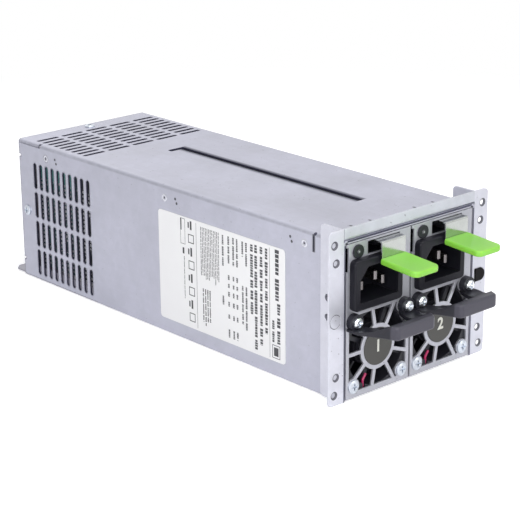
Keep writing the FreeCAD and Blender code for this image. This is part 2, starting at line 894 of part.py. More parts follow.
def chassis_screws():
    """Roof screw and two side screws that hold the rear panel."""
    shank = 2 * sheet + screw_spare
    return [screw(panel_screw_head, low_head_height, shank, vec(roof_screw_x, panel_screw_y, body_height), Z),
            screw(panel_screw_head, low_head_height, shank, vec(-wall_x, panel_screw_y, side_screw_z), -X),
            screw(panel_screw_head, low_head_height, shank, vec(wall_x, panel_screw_y, side_screw_z), X)]


def rating_label():
    return rounded_plate_yz(label_front, label_rear, label_bottom, body_height - label_below_top,
                            label_corner, -wall_x - label_thickness, -wall_x)


def module_centres():
    return (-module_pitch / 2, module_pitch / 2)


def module_housing():
    """Tray of one module: floor, both sides, rear wall and pressed board stand-offs."""
    side = housing_side
    half = module_half
    top = module_top - module_sheet
    bottom = housing_bottom
    floor = bottom + module_sheet
    front = face_thickness
    rear = module_length
    shell = box(-half, half, front, rear, bottom, top)
    hollow = box(-side, side, front - 1, rear - module_sheet, floor, top + 1)
    standoffs = []
    for y in (board_front + standoff_inset, module_length - standoff_rear_inset):
        for z in (board_bottom + standoff_inset, board_top - standoff_inset):
            standoffs.append(rod(standoff_radius, vec(board_face + board_thickness, y, z),
                                 standoff_height + module_sheet / 2, X))
    solid = joined([shell.cut(hollow)] + standoffs)
    notch_top = module_top - face_notch_below_top
    cuts = [box(-half - 1, -side + 1, front - 1, front + face_notch_depth, notch_top - face_notch_length,
                notch_top),
            box(board_face - tongue_opening_left, board_face + board_thickness + tongue_opening_right,
                rear - 3, rear + 1, tongue_bottom - standoff_height, tongue_top + standoff_height)]
    left = -side + rear_opening_side
    room = board_face - tongue_opening_left - rear_opening_gap - left - rear_opening_width
    rows = copies(top - floor - 2 * rear_opening_floor - rear_opening_height, rear_opening_rise)
    for row in range(rows):
        z = floor + rear_opening_floor + row * rear_opening_rise
        for column in range(copies(room, rear_opening_pitch)):
            x = left + column * rear_opening_pitch
            cuts.append(box(x, x + rear_opening_width, rear - 3, rear + 1, z, z + rear_opening_height))
    return without(solid, cuts)


def module_cover():
    """Lid of one module, with inner flanges and a slot for the latch tooth."""
    top = module_top
    under = top - module_sheet
    lid = box(-module_half, module_half, face_thickness, module_length, under, top)
    flanges = []
    for side in (-1, 1):
        outer = side * housing_side
        inner = side * (housing_side - module_sheet)
        flanges.append(box(min(outer, inner), max(outer, inner), latch_pivot_y + lid_flange_front,
                           module_length - lid_flange_rear, under - lid_flange_height, under))
    slot = box(tooth_mid - catch_width / 2, tooth_mid + catch_width / 2, catch_y - lid_slot_lead,
               catch_y + catch_length, under - 1, top + 1)
    return joined([lid] + flanges).cut(slot)


def module_face():
    """Front plate of one module, with the fan grille, inlet, light and latch openings."""
    half = module_half
    plate = box(-half, half, 0, face_thickness, module_bottom, module_top)
    z = fan_mid_z
    window_half = fan_size / 2 - window_side_margin
    window_rise = fan_size / 2 - window_end_margin
    window = rounded_plate_xz(-window_half, window_half, z - window_rise, z + window_rise,
                              window_corner, -1, face_thickness + 1)
    keep = [rod(grille_ring_radius, vec(0, 0, z), face_thickness, Y)]
    for index in range(grille_spokes):
        spoke = box(0, fan_size, 0, face_thickness, z - spoke_width / 2, z + spoke_width / 2)
        spoke.rotate(vec(0, 0, z), Y, -(first_spoke_angle + index * 360 / grille_spokes))
        keep.append(spoke)
    fan_screw_z = z - fan_hole_offset
    for side in (-1, 1):
        keep.append(rod(fan_pad_radius, vec(side * fan_hole_offset, 0, fan_screw_z), face_thickness, Y))
        keep.append(rod(handle_pad_radius, vec(side * handle_screw_offset, 0, handle_screw_z),
                        face_thickness, Y))
    holes = window.cut(Part.makeCompound(keep))
    body_w = inlet_body_width / 2
    body_h = inlet_body_height / 2
    back = face_thickness + 1
    notch_top = module_top - face_notch_below_top
    cuts = [holes,
            box(inlet_offset - body_w, inlet_offset + body_w, -1, back,
                inlet_mid_z - body_h, inlet_mid_z + body_h),
            box(latch_window_left, latch_window_right, -1, back, latch_window_bottom, latch_window_top),
            box(-half - 1, -half + face_notch_width, -1, back, notch_top - face_notch_length, notch_top),
            rod(light_body_radius, vec(light_offset, -1, light_mid_z), back + 1, Y)]
    for side in (-1, 1):
        cuts.append(rod(screw_shank_radius, vec(side * handle_screw_offset, -1, handle_screw_z), back + 1, Y))
        cuts.append(rod(screw_shank_radius, vec(side * fan_hole_offset, -1, fan_screw_z), back + 1, Y))
    return without(plate, cuts)


def hub_disc():
    return rod(hub_disc_radius, vec(0, -hub_disc_thickness, fan_mid_z), hub_disc_thickness, Y)


def inlet_body():
    """Mains inlet: rounded flange, snap-in body and the keyed recess."""
    x = inlet_offset
    z = inlet_mid_z
    flange = rounded_plate_xz(x - inlet_width / 2, x + inlet_width / 2, z - inlet_height / 2,
                              z + inlet_height / 2, inlet_corner, -inlet_flange, 0)
    rim = [edge for edge in flange.Edges
           if abs(edge.BoundBox.YMin + inlet_flange) < 1e-6 and abs(edge.BoundBox.YMax + inlet_flange) < 1e-6]
    flange = flange.makeFillet(inlet_rim_radius, rim)
    body = box(x - inlet_body_width / 2, x + inlet_body_width / 2, 0, inlet_body_depth,
               z - inlet_body_height / 2, z + inlet_body_height / 2)
    w = recess_width / 2
    h = recess_height / 2
    y0 = -inlet_flange - 1
    keyed = extruded([vec(x - w, y0, z - h), vec(x + w, y0, z - h),
                      vec(x + w, y0, z + h - recess_chamfer_height),
                      vec(x + w - recess_chamfer_width, y0, z + h),
                      vec(x - w + recess_chamfer_width, y0, z + h),
                      vec(x - w, y0, z + h - recess_chamfer_height)], Y * (recess_depth + 1))
    return joined([flange, body]).cut(keyed).cut(Part.makeCompound(pin_bars()))


def pin_bars():
    """The three blades of the inlet; the earth blade is the middle one and leads."""
    bars = []
    for offset, rise, tip in ((-pin_pitch / 2, -pin_rise, pin_tip), (pin_pitch / 2, -pin_rise, pin_tip),
                              (0, pin_rise, pin_tip - earth_lead)):
        x = inlet_offset + offset
        z = inlet_mid_z + rise
        bars.append(box(x - pin_width / 2, x + pin_width / 2, tip, pin_rear, z - pin_height / 2,
                        z + pin_height / 2))
    return bars


def inlet_pins():
    pins = []
    for bar in pin_bars():
        tip = [edge for edge in bar.Edges
               if edge.BoundBox.YMax - bar.BoundBox.YMin < 1e-6 and edge.BoundBox.ZLength > 1]
        pins.append(bar.makeChamfer(pin_chamfer, tip))
    return pins


def light_holder():
    at = vec(light_offset, 0, light_mid_z)
    ring = rod(light_bezel_radius, at - Y * light_bezel_proud, light_bezel_proud, Y)
    body = rod(light_body_radius, at, light_body_depth, Y)
    bore = rod(light_lens_radius, at - Y * light_bezel_proud, light_bezel_proud + light_bore_depth, Y)
    return joined([ring, body]).cut(bore)


def light_lens():
    """Light guide, a little proud of its holder and chamfered at the tip."""
    tip_y = -light_bezel_proud - light_lens_proud
    stem = rod(light_lens_radius, vec(light_offset, tip_y, light_mid_z),
               light_lens_proud + light_bezel_proud + light_bore_depth, Y)
    tip = [edge for edge in stem.Edges if edge.BoundBox.YMax < tip_y + 1e-3]
    return stem.makeChamfer(light_lens_edge, tip)


def latch_strip():
    """Bent sheet-metal latch: long leaf, upright front and the finger inside the tab."""
    t = latch_thickness
    top = latch_top
    front = -latch_front
    leaf = box(latch_left, latch_right, front, latch_pivot_y, top - t, top)
    upright = box(latch_left, latch_right, front, front + t, finger_mid_z - t / 2, top)
    side = tooth_mid - latch_tooth_width / 2
    tooth = extruded([vec(side, latch_tooth_front, top),
                      vec(side, latch_tooth_front + latch_tooth_length, top),
                      vec(side, latch_tooth_front + latch_tooth_length / 2, latch_tooth_top),
                      vec(side, latch_tooth_front, latch_tooth_top)],
                     X * latch_tooth_width)
    solid = joined([leaf, upright, finger_bar(), tooth])
    bend = [edge for edge in solid.Edges
            if abs(edge.BoundBox.YMin - front) < 1e-6 and abs(edge.BoundBox.YMax - front) < 1e-6
            and abs(edge.BoundBox.ZMin - top) < 1e-6 and edge.BoundBox.XLength > 5]
    return solid.makeFillet(t * 0.9, bend)


def finger_bar():
    """Tongue of the latch that the moulded tab is pushed over."""
    t = latch_thickness
    bar = box(latch_left + finger_inset, latch_right - finger_inset, -latch_front - finger_length,
              -latch_front + t, finger_mid_z - t / 2, finger_mid_z + t / 2)
    bar.rotate(vec(0, -latch_front, finger_mid_z), X, tab_drop)
    return bar


def latch_tab():
    """Moulded finger tab pushed over the latch finger."""
    front = -latch_front - tab_length
    plate = rounded_plate_xy(tab_left, tab_right, front, -latch_front + tab_corner, tab_corner,
                             tab_top - tab_thickness, tab_top)
    behind = box(tab_left - 1, tab_right + 1, -latch_front, tab_corner, 0, body_height)
    plate = plate.cut(behind)
    rim = [edge for edge in plate.Edges if edge.BoundBox.ZLength < 1e-6
           and edge.BoundBox.YMin < -latch_front - 0.01]
    plate = plate.makeFillet(tab_edge, rim)
    plate.rotate(vec(0, -latch_front, finger_mid_z), X, tab_drop)
    return plate.cut(behind).cut(finger_bar())


def handle():
    """Moulded pull: two screw pads and a bow that narrows towards its grip bar."""
    z0 = handle_bottom
    z1 = z0 + handle_height
    front = -handle_reach
    bar_back = front + handle_bar_depth
    right = [(module_half, 0, 0),
             (module_half, -handle_shoulder_y, handle_shoulder_radius),
             (handle_waist_half, -handle_waist_y, handle_waist_radius),
             (handle_bar_half, front, handle_bar_corner)]
    left = [(-x, y, radius) for x, y, radius in reversed(right)]
    bow = Part.Face(rounded_outline(right + left, z0)).extrude(Z * handle_height)
    rim = [edge for edge in bow.Edges if edge.BoundBox.ZLength < 1e-6 and edge.BoundBox.YMin < -1e-3]
    bow = bow.makeFillet(handle_edge, rim)
    root = module_half - handle_root_width
    gap = Part.Face(rounded_outline([
        (-root, 1, 0), (-handle_gap_half, bar_back, handle_gap_corner),
        (handle_gap_half, bar_back, handle_gap_corner), (root, 1, 0)], z0 - 1))
    bow = bow.cut(gap.extrude(Z * (handle_height + 2))).cut(arm_top(bar_back, z1))
    parts = [bow]
    cuts = []
    for side in (-1, 1):
        seat = vec(side * handle_screw_offset, -handle_pad_thickness, handle_screw_z)
        parts.append(rod(handle_pad_radius, seat, handle_pad_thickness, Y).common(
            box(-module_half, module_half, -handle_pad_thickness, 0, z0, module_top)))
        cuts.append(rod(screw_shank_radius, seat - Y, handle_pad_thickness + 2, Y))
    return without(joined(parts), cuts)


def arm_top(bar_back, z1):
    """Cutter over the handle's arms: level under the screws, then rising in an arc to the bar."""
    level = handle_screw_z - handle_screw_head - handle_screw_gap
    run = -handle_root_run - bar_back
    rise = z1 - level
    radius = (run * run + rise * rise) / (2 * rise)
    half_turn = math.asin(run / radius) / 2
    side = -module_half - 1

    def place(y, z):
        return vec(side, y, z)

    middle = place(-handle_root_run - radius * math.sin(half_turn),
                   level + radius * (1 - math.cos(half_turn)))
    wire = Part.Wire([
        Part.makeLine(place(1, level), place(-handle_root_run, level)),
        Part.Arc(place(-handle_root_run, level), middle, place(bar_back, z1)).toShape(),
        Part.makeLine(place(bar_back, z1), place(bar_back, z1 + 1)),
        Part.makeLine(place(bar_back, z1 + 1), place(1, z1 + 1)),
        Part.makeLine(place(1, z1 + 1), place(1, level))])
    return Part.Face(wire).extrude(X * (2 * module_half + 2))


def handle_screws():
    shank = handle_pad_thickness + face_thickness + screw_spare
    return [screw(handle_screw_head, handle_screw_head_height, shank,
                  vec(side * handle_screw_offset, -handle_pad_thickness, handle_screw_z), -Y)
            for side in (-1, 1)]


def fan_screws():
    return [screw(fan_screw_head, low_head_height, face_thickness + fan_screw_grip,
                  vec(side * fan_hole_offset, 0, fan_mid_z - fan_hole_offset), -Y) for side in (-1, 1)]


def fan_frame():
    """Square fan frame with corner holes, front struts and the motor base."""
    half = fan_size / 2
    z = fan_mid_z
    front = face_thickness
    body = rounded_plate_xz(-half, half, z - half, z + half, fan_corner, front, fan_rear)
    cuts = [rod(fan_bore_radius, vec(0, front - 1, z), fan_depth + 2, Y)]
    for sx in (-1, 1):
        for sz in (-1, 1):
            cuts.append(rod(fan_hole_radius, vec(sx * fan_hole_offset, front - 1, z + sz * fan_hole_offset),
                            fan_depth + 2, Y))
    body = without(body, cuts)
    strut_y = front + strut_front
    parts = [body, rod(motor_base_radius, vec(0, strut_y, z), strut_depth, Y)]
    for index in range(strut_count):
        strut = box(motor_base_radius - 1, fan_bore_radius + strut_overlap, strut_y, strut_y + strut_depth,
                    z - strut_width / 2, z + strut_width / 2)
        strut.rotate(vec(0, 0, z), Y, -(strut_first_angle + index * 360 / strut_count))
        parts.append(strut)
    lead_x = lead_foot_x()
    reach = lead_radius + lead_groove_gap
    low = z - half - 1
    groove = [box(lead_x - reach, lead_x + reach, front - 1, fan_rear + 1, low, z - half + 2 * reach),
              box(lead_x - reach, lead_x + reach, front - 1, strut_y + lead_groove_depth, low,
                  z - fan_bore_radius + lead_groove_rise),
              rod(shaft_radius + shaft_clearance, vec(0, front - 1, z), fan_depth / 2, Y)]
    return without(joined(parts), groove)


def lead_foot_x():
    return fan_bore_radius * math.cos(math.radians(lead_angle))


def fan_rotor():
    """Hub cup with a shaft and twisted blades."""
    z = fan_mid_z
    strut_y = face_thickness + strut_front
    start = strut_y + strut_depth + rotor_gap
    hub = rod(rotor_hub_radius, vec(0, start, z), rotor_depth, Y)
    shaft = rod(shaft_radius, vec(0, strut_y, z), strut_depth + rotor_gap + 1, Y)
    tip_radius = fan_bore_radius - rotor_tip_gap
    blades = []
    for index in range(rotor_blades):
        sections = []
        for radius, pitch in ((rotor_hub_radius - blade_overlap, blade_hub_pitch),
                              (tip_radius + blade_overlap, blade_tip_pitch)):
            sections.append(blade_section(radius, pitch, start + rotor_depth / 2, z))
        blade = Part.makeLoft(sections, True, True)
        blade.rotate(vec(0, 0, z), Y, index * 360 / rotor_blades)
        blades.append(blade)
    disc = rod(tip_radius, vec(0, start, z), rotor_depth, Y)
    swept = Part.makeCompound(blades).common(disc)
    return joined([hub, shaft] + swept.Solids)


def blade_section(radius, pitch, y_mid, z):
    """Thin cambered blade section in the plane x = radius, pitched from the disc plane."""
    chord = (rotor_depth - blade_edge_margin) / math.sin(math.radians(blade_hub_pitch))
    camber = chord * blade_camber
    turn = math.radians(pitch)
    half = blade_thickness / 2

    def place(along, off):
        y = y_mid + along * math.sin(turn) + off * math.cos(turn)
        across = along * math.cos(turn) - off * math.sin(turn)
        return vec(radius, y, z + across)

    a, b = -chord / 2, chord / 2
    upper = Part.Arc(place(a, half), place(0, camber + half), place(b, half)).toShape()
    lower = Part.Arc(place(b, -half), place(0, camber - half), place(a, -half)).toShape()
    return Part.Wire([upper, Part.makeLine(place(b, half), place(b, -half)), lower,
                      Part.makeLine(place(a, -half), place(a, half))])


def tube_along(points, radius, bend):
    """Round lead along straight runs joined by tangent arcs."""
    edges = []
    start = points[0]
    for before, corner, after in zip(points, points[1:], points[2:]):
        a, middle, b = tangent_arc(before, corner, after, bend)
        edges.append(Part.makeLine(start, a))
        edges.append(Part.Arc(a, middle, b).toShape())
        start = b
    edges.append(Part.makeLine(start, points[-1]))
    path = Part.Wire(edges)
    heading = (points[1] - points[0]).normalize()
    ring = Part.Wire(Part.makeCircle(radius, points[0], heading))
    return path.makePipeShell([ring], True, True)


def fan_lead():
    """Lead of the fan: along a strut, under the frame and up to the module board."""
    z = fan_mid_z
    y_front = face_thickness + strut_front - lead_radius
    turn = math.radians(lead_angle)
    foot_x = lead_foot_x()
    floor_z = z - fan_size / 2 + lead_radius + lead_floor_gap
    behind = fan_rear + lead_behind_fan
    points = [vec(lead_start_radius * math.cos(turn), y_front, z + lead_start_radius * math.sin(turn)),
              vec(foot_x, y_front, z + fan_bore_radius * math.sin(turn) + lead_exit_rise),
              vec(foot_x, y_front, floor_z),
              vec(foot_x, fan_rear + lead_low_run, floor_z),
              vec(foot_x + lead_side_step, behind, floor_z + lead_climb),
              vec(board_face - lead_end_gap, behind, floor_z + lead_climb)]
    return tube_along(points, lead_radius, lead_bend)


def module_board():
    """Module circuit board with the contact tongue at its rear."""
    rear = module_length - board_rear_gap
    board = box(board_face, board_face + board_thickness, board_front, rear, board_bottom, board_top)
    tongue = box(board_face, board_face + board_thickness, rear - 1, module_length + tongue_length,
                 tongue_bottom, tongue_top)
    return joined([board, tongue])


def bulk_capacitors():
    x0 = -housing_side + part_side_gap
    return [rod(capacitor_radius, vec(x0, capacitor_y, z), board_face - x0, X) for z in capacitor_z]


def transformer():
    """Ferrite core around a wound bobbin."""
    x0 = -housing_side + transformer_side_gap
    x1 = board_face
    y0 = transformer_y
    y1 = y0 + transformer_depth
    z0 = transformer_z - transformer_height / 2
    z1 = transformer_z + transformer_height / 2
    c = transformer_core
    w = winding_overhang
    core = box(x0, x1, y0, y1, z0, z1)
    window = box(x0 + c, x1 - c, y0 - 1, y1 + 1, z0 + c, z1 - c)
    winding = box(x0 + c, x1 - c, y0 - w, y1 + w, z0 + c, z1 - c)
    return joined([core.cut(window), winding])


def heat_sinks():
    """Two finned plates that stand on the module board."""
    sinks = []
    x1 = board_face
    x0 = -housing_side + sink_side_gap
    y0 = sink_front
    y1 = module_length - sink_rear_inset
    for below_top in sinks_below_top:
        z = board_top - below_top
        parts = [box(x0, x1, y0, y1, z, z + sink_base)]
        for index in range(sink_fins):
            x = x0 + index * (x1 - x0 - sink_fin - sink_tip) / (sink_fins - 1)
            parts.append(box(x, x + sink_fin, y0, y1, z - sink_fin_reach, z))
        sinks.append(joined(parts))
    return sinks


def backplane():
    half = inner_x - backplane_side_gap
    return box(-half, half, backplane_y, backplane_rear, floor_top, backplane_top)


def backplane_sockets():
    """One card-edge socket for each module's tongue."""
    sockets = []
    for centre in module_centres():
        mid = centre + board_face + board_thickness / 2
        z0 = tongue_bottom - socket_margin
        z1 = tongue_top + socket_margin
        front = backplane_y - socket_depth
        body = box(mid - socket_width / 2, mid + socket_width / 2, front, backplane_y, z0, z1)
        slot = box(mid - socket_slot / 2, mid + socket_slot / 2, front - 1, backplane_y - socket_web,
                   tongue_bottom - edge_gap, tongue_top + edge_gap)
        sockets.append(body.cut(slot))
    return sockets


def rear_board():
    """Upright board of the output stage, standing against the backplane."""
    return box(rear_board_x, rear_board_x + board_thickness,
               backplane_rear, body_depth - rear_board_rear_inset,
               rear_board_bottom, backplane_top - rear_board_below_top)


def rear_board_parts():
    """Ring chokes on the inner face of the rear board."""
    solids = []
    for index in range(chokes):
        at = vec(rear_board_x + board_thickness, backplane_rear + choke_first + index * choke_pitch,
                 rear_board_bottom + choke_rise)
        solids.append(rod(choke_radius, at, choke_length, X).cut(rod(choke_bore, at, choke_length, X)))
    return solids


def output_filter():
    """Output capacitors on the inner face of the rear board."""
    x0 = rear_board_x + board_thickness
    first = backplane_rear + output_capacitor_first
    z = rear_board_bottom + output_capacitor_rise
    return [rod(output_capacitor_radius, vec(x0, first + index * output_capacitor_pitch, z),
                output_capacitor_length, X) for index in range(output_capacitors)]


def busbars():
    """Two copper bars from the backplane towards the cable outlet."""
    bars = []
    half = busbar_width / 2
    for x in (-busbar_spacing / 2, busbar_spacing / 2):
        bars.append(box(x - half, x + half, backplane_rear, backplane_rear + busbar_length,
                        busbar_z, busbar_z + busbar_thickness))
    return bars


def alarm_buzzer():
    at = vec(inner_x - buzzer_from_wall, backplane_rear, buzzer_z)
    hole = rod(buzzer_hole, at + Y * (buzzer_depth - buzzer_hole_depth), buzzer_hole_depth + 1, Y)
    return rod(buzzer_radius, at, buzzer_depth, Y).cut(hole)


def chassis_nodes():
    return {"chassis_shell": chassis_shell(), "chassis_base": chassis_base(), "rear_panel": rear_panel(),
            "cable_grommet": cable_grommet(), "bracket_left": bracket(-1), "bracket_right": bracket(1),
            "front_lip": front_lip(), "bay_header": bay_header(), "bay_divider": bay_divider(),
            "chassis_screws": chassis_screws(), "rating_label": rating_label(),
            "backplane_board": backplane(), "backplane_sockets": backplane_sockets(),
            "rear_board": rear_board(), "rear_board_parts": rear_board_parts(),
            "output_capacitors": output_filter(), "busbars": busbars(), "alarm_buzzer": alarm_buzzer(),
            "reset_switch": reset_switch(), "reset_button": reset_button()}


def module_nodes():
    return {"housing": module_housing(), "cover": module_cover(), "face_plate": module_face(),
            "hub_disc": hub_disc(), "inlet_body": inlet_body(), "inlet_pins": inlet_pins(),
            "handle": handle(), "handle_screws": handle_screws(), "fan_screws": fan_screws(),
            "fan_frame": fan_frame(), "fan_rotor": fan_rotor(), "fan_lead": fan_lead(),
            "light_holder": light_holder(), "light_lens": light_lens(),
            "latch_strip": latch_strip(), "latch_tab": latch_tab(),
            "board": module_board(), "bulk_capacitors": bulk_capacitors(),
            "transformer": transformer(), "heat_sinks": heat_sinks()}


def write(name, shape):
    """Write one node, moved so that the middle of the underside is the origin."""
    solids = shape if isinstance(shape, list) else shape.Solids
    placed = Part.makeCompound([solid.copy() for solid in solids])
    placed.translate(vec(0, -body_depth / 2, 0))
    single = placed.Solids[0] if len(placed.Solids) == 1 else placed
    single.exportStep("parts/" + name + ".step")


def main():
    os.makedirs("parts", exist_ok=True)
    for name, shape in chassis_nodes().items():
        write(name, shape)
    for number, centre in enumerate(module_centres(), 1):
        for name, shape in module_nodes().items():
            solids = shape if isinstance(shape, list) else shape.Solids
            moved = []
            for solid in solids:
                solid = solid.copy()
                solid.translate(vec(centre, 0, 0))
                moved.append(solid)
            write("module_%d_%s" % (number, name), moved)


main()
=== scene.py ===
import json
import math
import random

import bpy
from mathutils import Matrix, Vector


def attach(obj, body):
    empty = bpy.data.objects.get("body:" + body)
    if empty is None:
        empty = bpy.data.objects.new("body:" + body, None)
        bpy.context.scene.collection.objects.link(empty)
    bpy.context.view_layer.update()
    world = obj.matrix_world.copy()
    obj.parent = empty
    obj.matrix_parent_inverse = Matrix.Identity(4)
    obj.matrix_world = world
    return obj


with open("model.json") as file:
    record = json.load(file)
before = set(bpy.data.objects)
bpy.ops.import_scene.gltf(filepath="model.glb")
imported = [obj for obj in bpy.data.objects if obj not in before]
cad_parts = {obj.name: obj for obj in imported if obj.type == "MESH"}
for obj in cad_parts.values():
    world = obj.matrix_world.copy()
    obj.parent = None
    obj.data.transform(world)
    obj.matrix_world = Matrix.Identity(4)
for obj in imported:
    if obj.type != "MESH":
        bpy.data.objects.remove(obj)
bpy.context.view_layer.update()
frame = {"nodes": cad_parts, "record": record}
nodes = frame["nodes"]


def reach_of(name):
    """Lowest and highest corner of a node in the part's frame."""
    node = nodes[name]
    corners = [node.matrix_world @ Vector(corner) for corner in node.bound_box]
    low = Vector([min(corner[axis] for corner in corners) for axis in range(3)])
    high = Vector([max(corner[axis] for corner in corners) for axis in range(3)])
    return low, high


def middle_of(name):
    """Middle of a node's box in the part's frame."""
    low, high = reach_of(name)
    return (low + high) / 2.0


# All sizes are metres in the frame of the solids: x to the right, y to the rear, z up.
SHELL_LOW, SHELL_HIGH = reach_of("chassis_shell")
EAR_LOW, EAR_HIGH = reach_of("bracket_right")
FRONT_Y = SHELL_LOW.y
SHELL_HALF = SHELL_HIGH.x
SHELL_TOP = SHELL_HIGH.z

# The modules by number, from the left
MODULES = (1, 2)

# The camera that took the photograph, from its straight edges
CAMERA_PLACE = (-0.5733, -0.5337 + FRONT_Y, 0.3216)
CAMERA_RIGHT = (0.7426, -0.6697, -0.0083)
CAMERA_DOWN = (-0.2187, -0.2307, -0.9481)
CAMERA_AHEAD = (0.6330, 0.7059, -0.3178)
CAMERA_LENS = 121.96
CAMERA_SENSOR = 36.0
CAMERA_CLIP = (0.01, 20.0)

# The folded shell: its sheet, how far its bends reach, and where the painted shade along them starts, is full
# and begins to fade
SHELL_SHEET = 0.0010
SHELL_BEND = 0.0022
BEND_SHADE_SPAN = (SHELL_TOP - SHELL_BEND, SHELL_TOP - SHELL_BEND * 0.7, SHELL_TOP - SHELL_BEND * 0.35)

# The long slot of the roof: its sides and ends, and how far the painted shade beside it reaches. The shade is
# darkest up to the flat, left and right, where this share of its tone covers the sheet.
SLOT_SIDES = (0.0062, 0.0096)
SLOT_ENDS = (FRONT_Y + 0.0410, FRONT_Y + 0.1782)
SLOT_SHADE_REACH = 0.0026
SLOT_FLAT = (0.0005, 0.0010)
SLOT_SHARE = 0.95

# The short upright slots beside the ears: the shallow step around each, and the small hole above it
STEP_Y = FRONT_Y + 0.0197
STEP_HALF = 0.0011
STEP_ENDS = (SHELL_TOP - 0.0096, SHELL_TOP - 0.0011)
RELIEF_PLACE = (SHELL_HALF - 0.0003, FRONT_Y + 0.01885, SHELL_TOP - 0.0006)
RELIEF_RADIUS = 0.0009

# The vents: the front and the top of those in the side wall, and how far the painted shade on their rolled
# edges reaches
VENTS_FRONT_Y = FRONT_Y + 0.18725
VENTS_TOP_Z = SHELL_TOP - 0.0097
VENT_SHADE_REACH = 0.0013

# Marks pressed into the shell are shallower than this, and none lies among the vents of the side wall
MARK_DEPTH = 0.00024

# How far inside a sheet's faces the walls of its holes are given painted shade
SHELL_SKIN = 0.00003
EAR_SKIN = 0.0001

# The ears: their sheet, and the stretch beyond their bend where the walls of holes are given painted shade
EAR_SHEET = 0.0010
EAR_MARGIN = 0.0012
EAR_ACROSS = (SHELL_HALF + 0.0022, EAR_HIGH.x - 0.0007)
EAR_UP = (EAR_LOW.z + EAR_MARGIN, EAR_HIGH.z - EAR_MARGIN)

# Clinch marks of the side walls, each with a dark middle of painted shade, a bright rim of painted highlight
# and two punched dots beside it, dark with painted shade
CLINCH_PLACES = (FRONT_Y + 0.0259, FRONT_Y + 0.12775, FRONT_Y + 0.2296)
CLINCH_Z = SHELL_TOP - 0.0067
CLINCH_DOT = 0.00055
DOT_RADIUS = 0.00075
DOTS_AWAY = 0.0090
DOTS_TOWARDS = (1.0, -1.0, -1.0)
DOTS_APART = ((0.0005, 0.0011), (-0.0005, -0.0011))

# Radius and height of the rim around a clinch mark, from its inside outwards
RIM_PROFILE = ((0.00110, 0.0), (0.00125, 0.00010), (0.00145, 0.00015), (0.00170, 0.00010), (0.00185, 0.0))

# Dark weld spots of the roof behind the lip: their places, and half their width and length
WELD_PLACES = (-0.0247, -0.0122, 0.0178, 0.0306)
WELD_Y = FRONT_Y + 0.0147
WELD_REACH = (0.0007, 0.0015)

# Corners of every round mark, and how far print and spots lie in front of what carries them
CORNERS = 16
PRINT_LIFT = 0.00003

# The painted sheen on the bar of a handle: its front face, and the depth over which the sheen fades
SHEEN_FRONT_Y = FRONT_Y - 0.02145
SHEEN_FADE = 0.0008

# The pale chip in the middle of a status light fades out between these radii
CHIP_RADII = (0.00025, 0.00045)

# The board behind the side vents: the ends of its dark zone and of its bright field, and the heights
# between which the field appears
DARK_ENDS = (VENTS_FRONT_Y, VENTS_FRONT_Y + 0.0240)
FIELD_ENDS = (VENTS_FRONT_Y + 0.0245, VENTS_FRONT_Y + 0.0580)
FIELD_FOOT = (0.0500, 0.0580)

# Its solder joints: their top, the pitch of their rows, the squared radius of one as a share of its cell,
# and the level that a noise has to pass where they stand
JOINTS_TOP = 0.0580
JOINT_PITCH = 0.0024
JOINT_SHARE = 0.11
JOINT_CROWD = 0.42

# The number on a hub disc
NUMBER_SIZE = 0.0082
NUMBER_WEIGHT = 0.00025


def add_camera():
    data = bpy.data.cameras.new("camera")
    data.lens = CAMERA_LENS
    data.sensor_width = CAMERA_SENSOR
    data.clip_start, data.clip_end = CAMERA_CLIP
    camera = bpy.data.objects.new("camera", data)
    right = Vector(CAMERA_RIGHT)
    up = -Vector(CAMERA_DOWN)
    back = -Vector(CAMERA_AHEAD)
    turn = Matrix((right, up, back)).transposed().to_4x4()
    camera.matrix_world = Matrix.Translation(CAMERA_PLACE) @ turn
    bpy.context.scene.collection.objects.link(camera)
    bpy.context.scene.camera = camera


# Colours that several materials or marks share
# Painted shade on the walls of holes and slots and on the rims of vents
CUT_SHADE_TONE = (0.050, 0.049, 0.082)
EAR_CUT_SHADE_TONE = (0.11, 0.11, 0.13)
# Painted shade beside the long slot of the roof
SLOT_SHADE_TONE = (0.038, 0.041, 0.075)
SPECK_TONE = (0.13, 0.13, 0.15)
SHELL_TONE = (0.462, 0.467, 0.543)

# Shares of a sheet's own colour: in dark and light patches, in the painted highlight on edges, and in the
# painted shade along bends and in steps
ZINC_DARK = 0.87
ZINC_LIGHT = 1.09
ZINC_EDGE_HIGHLIGHT = 1.30
BEND_SHADE = 0.62
STEP_SHADE = 0.50

# The values that a noise mostly takes
NOISE_SPAN = (0.3, 0.7)

# The nodes that round edges: their samples, and the cosines that count as a sharp edge and as a flat face
EDGE_SAMPLES = 4
EDGE_COSINES = (0.80, 0.99)


def shade(colour, share):
    """A colour made darker or lighter by a share of itself."""
    return tuple(min(1.0, value * share) for value in colour)


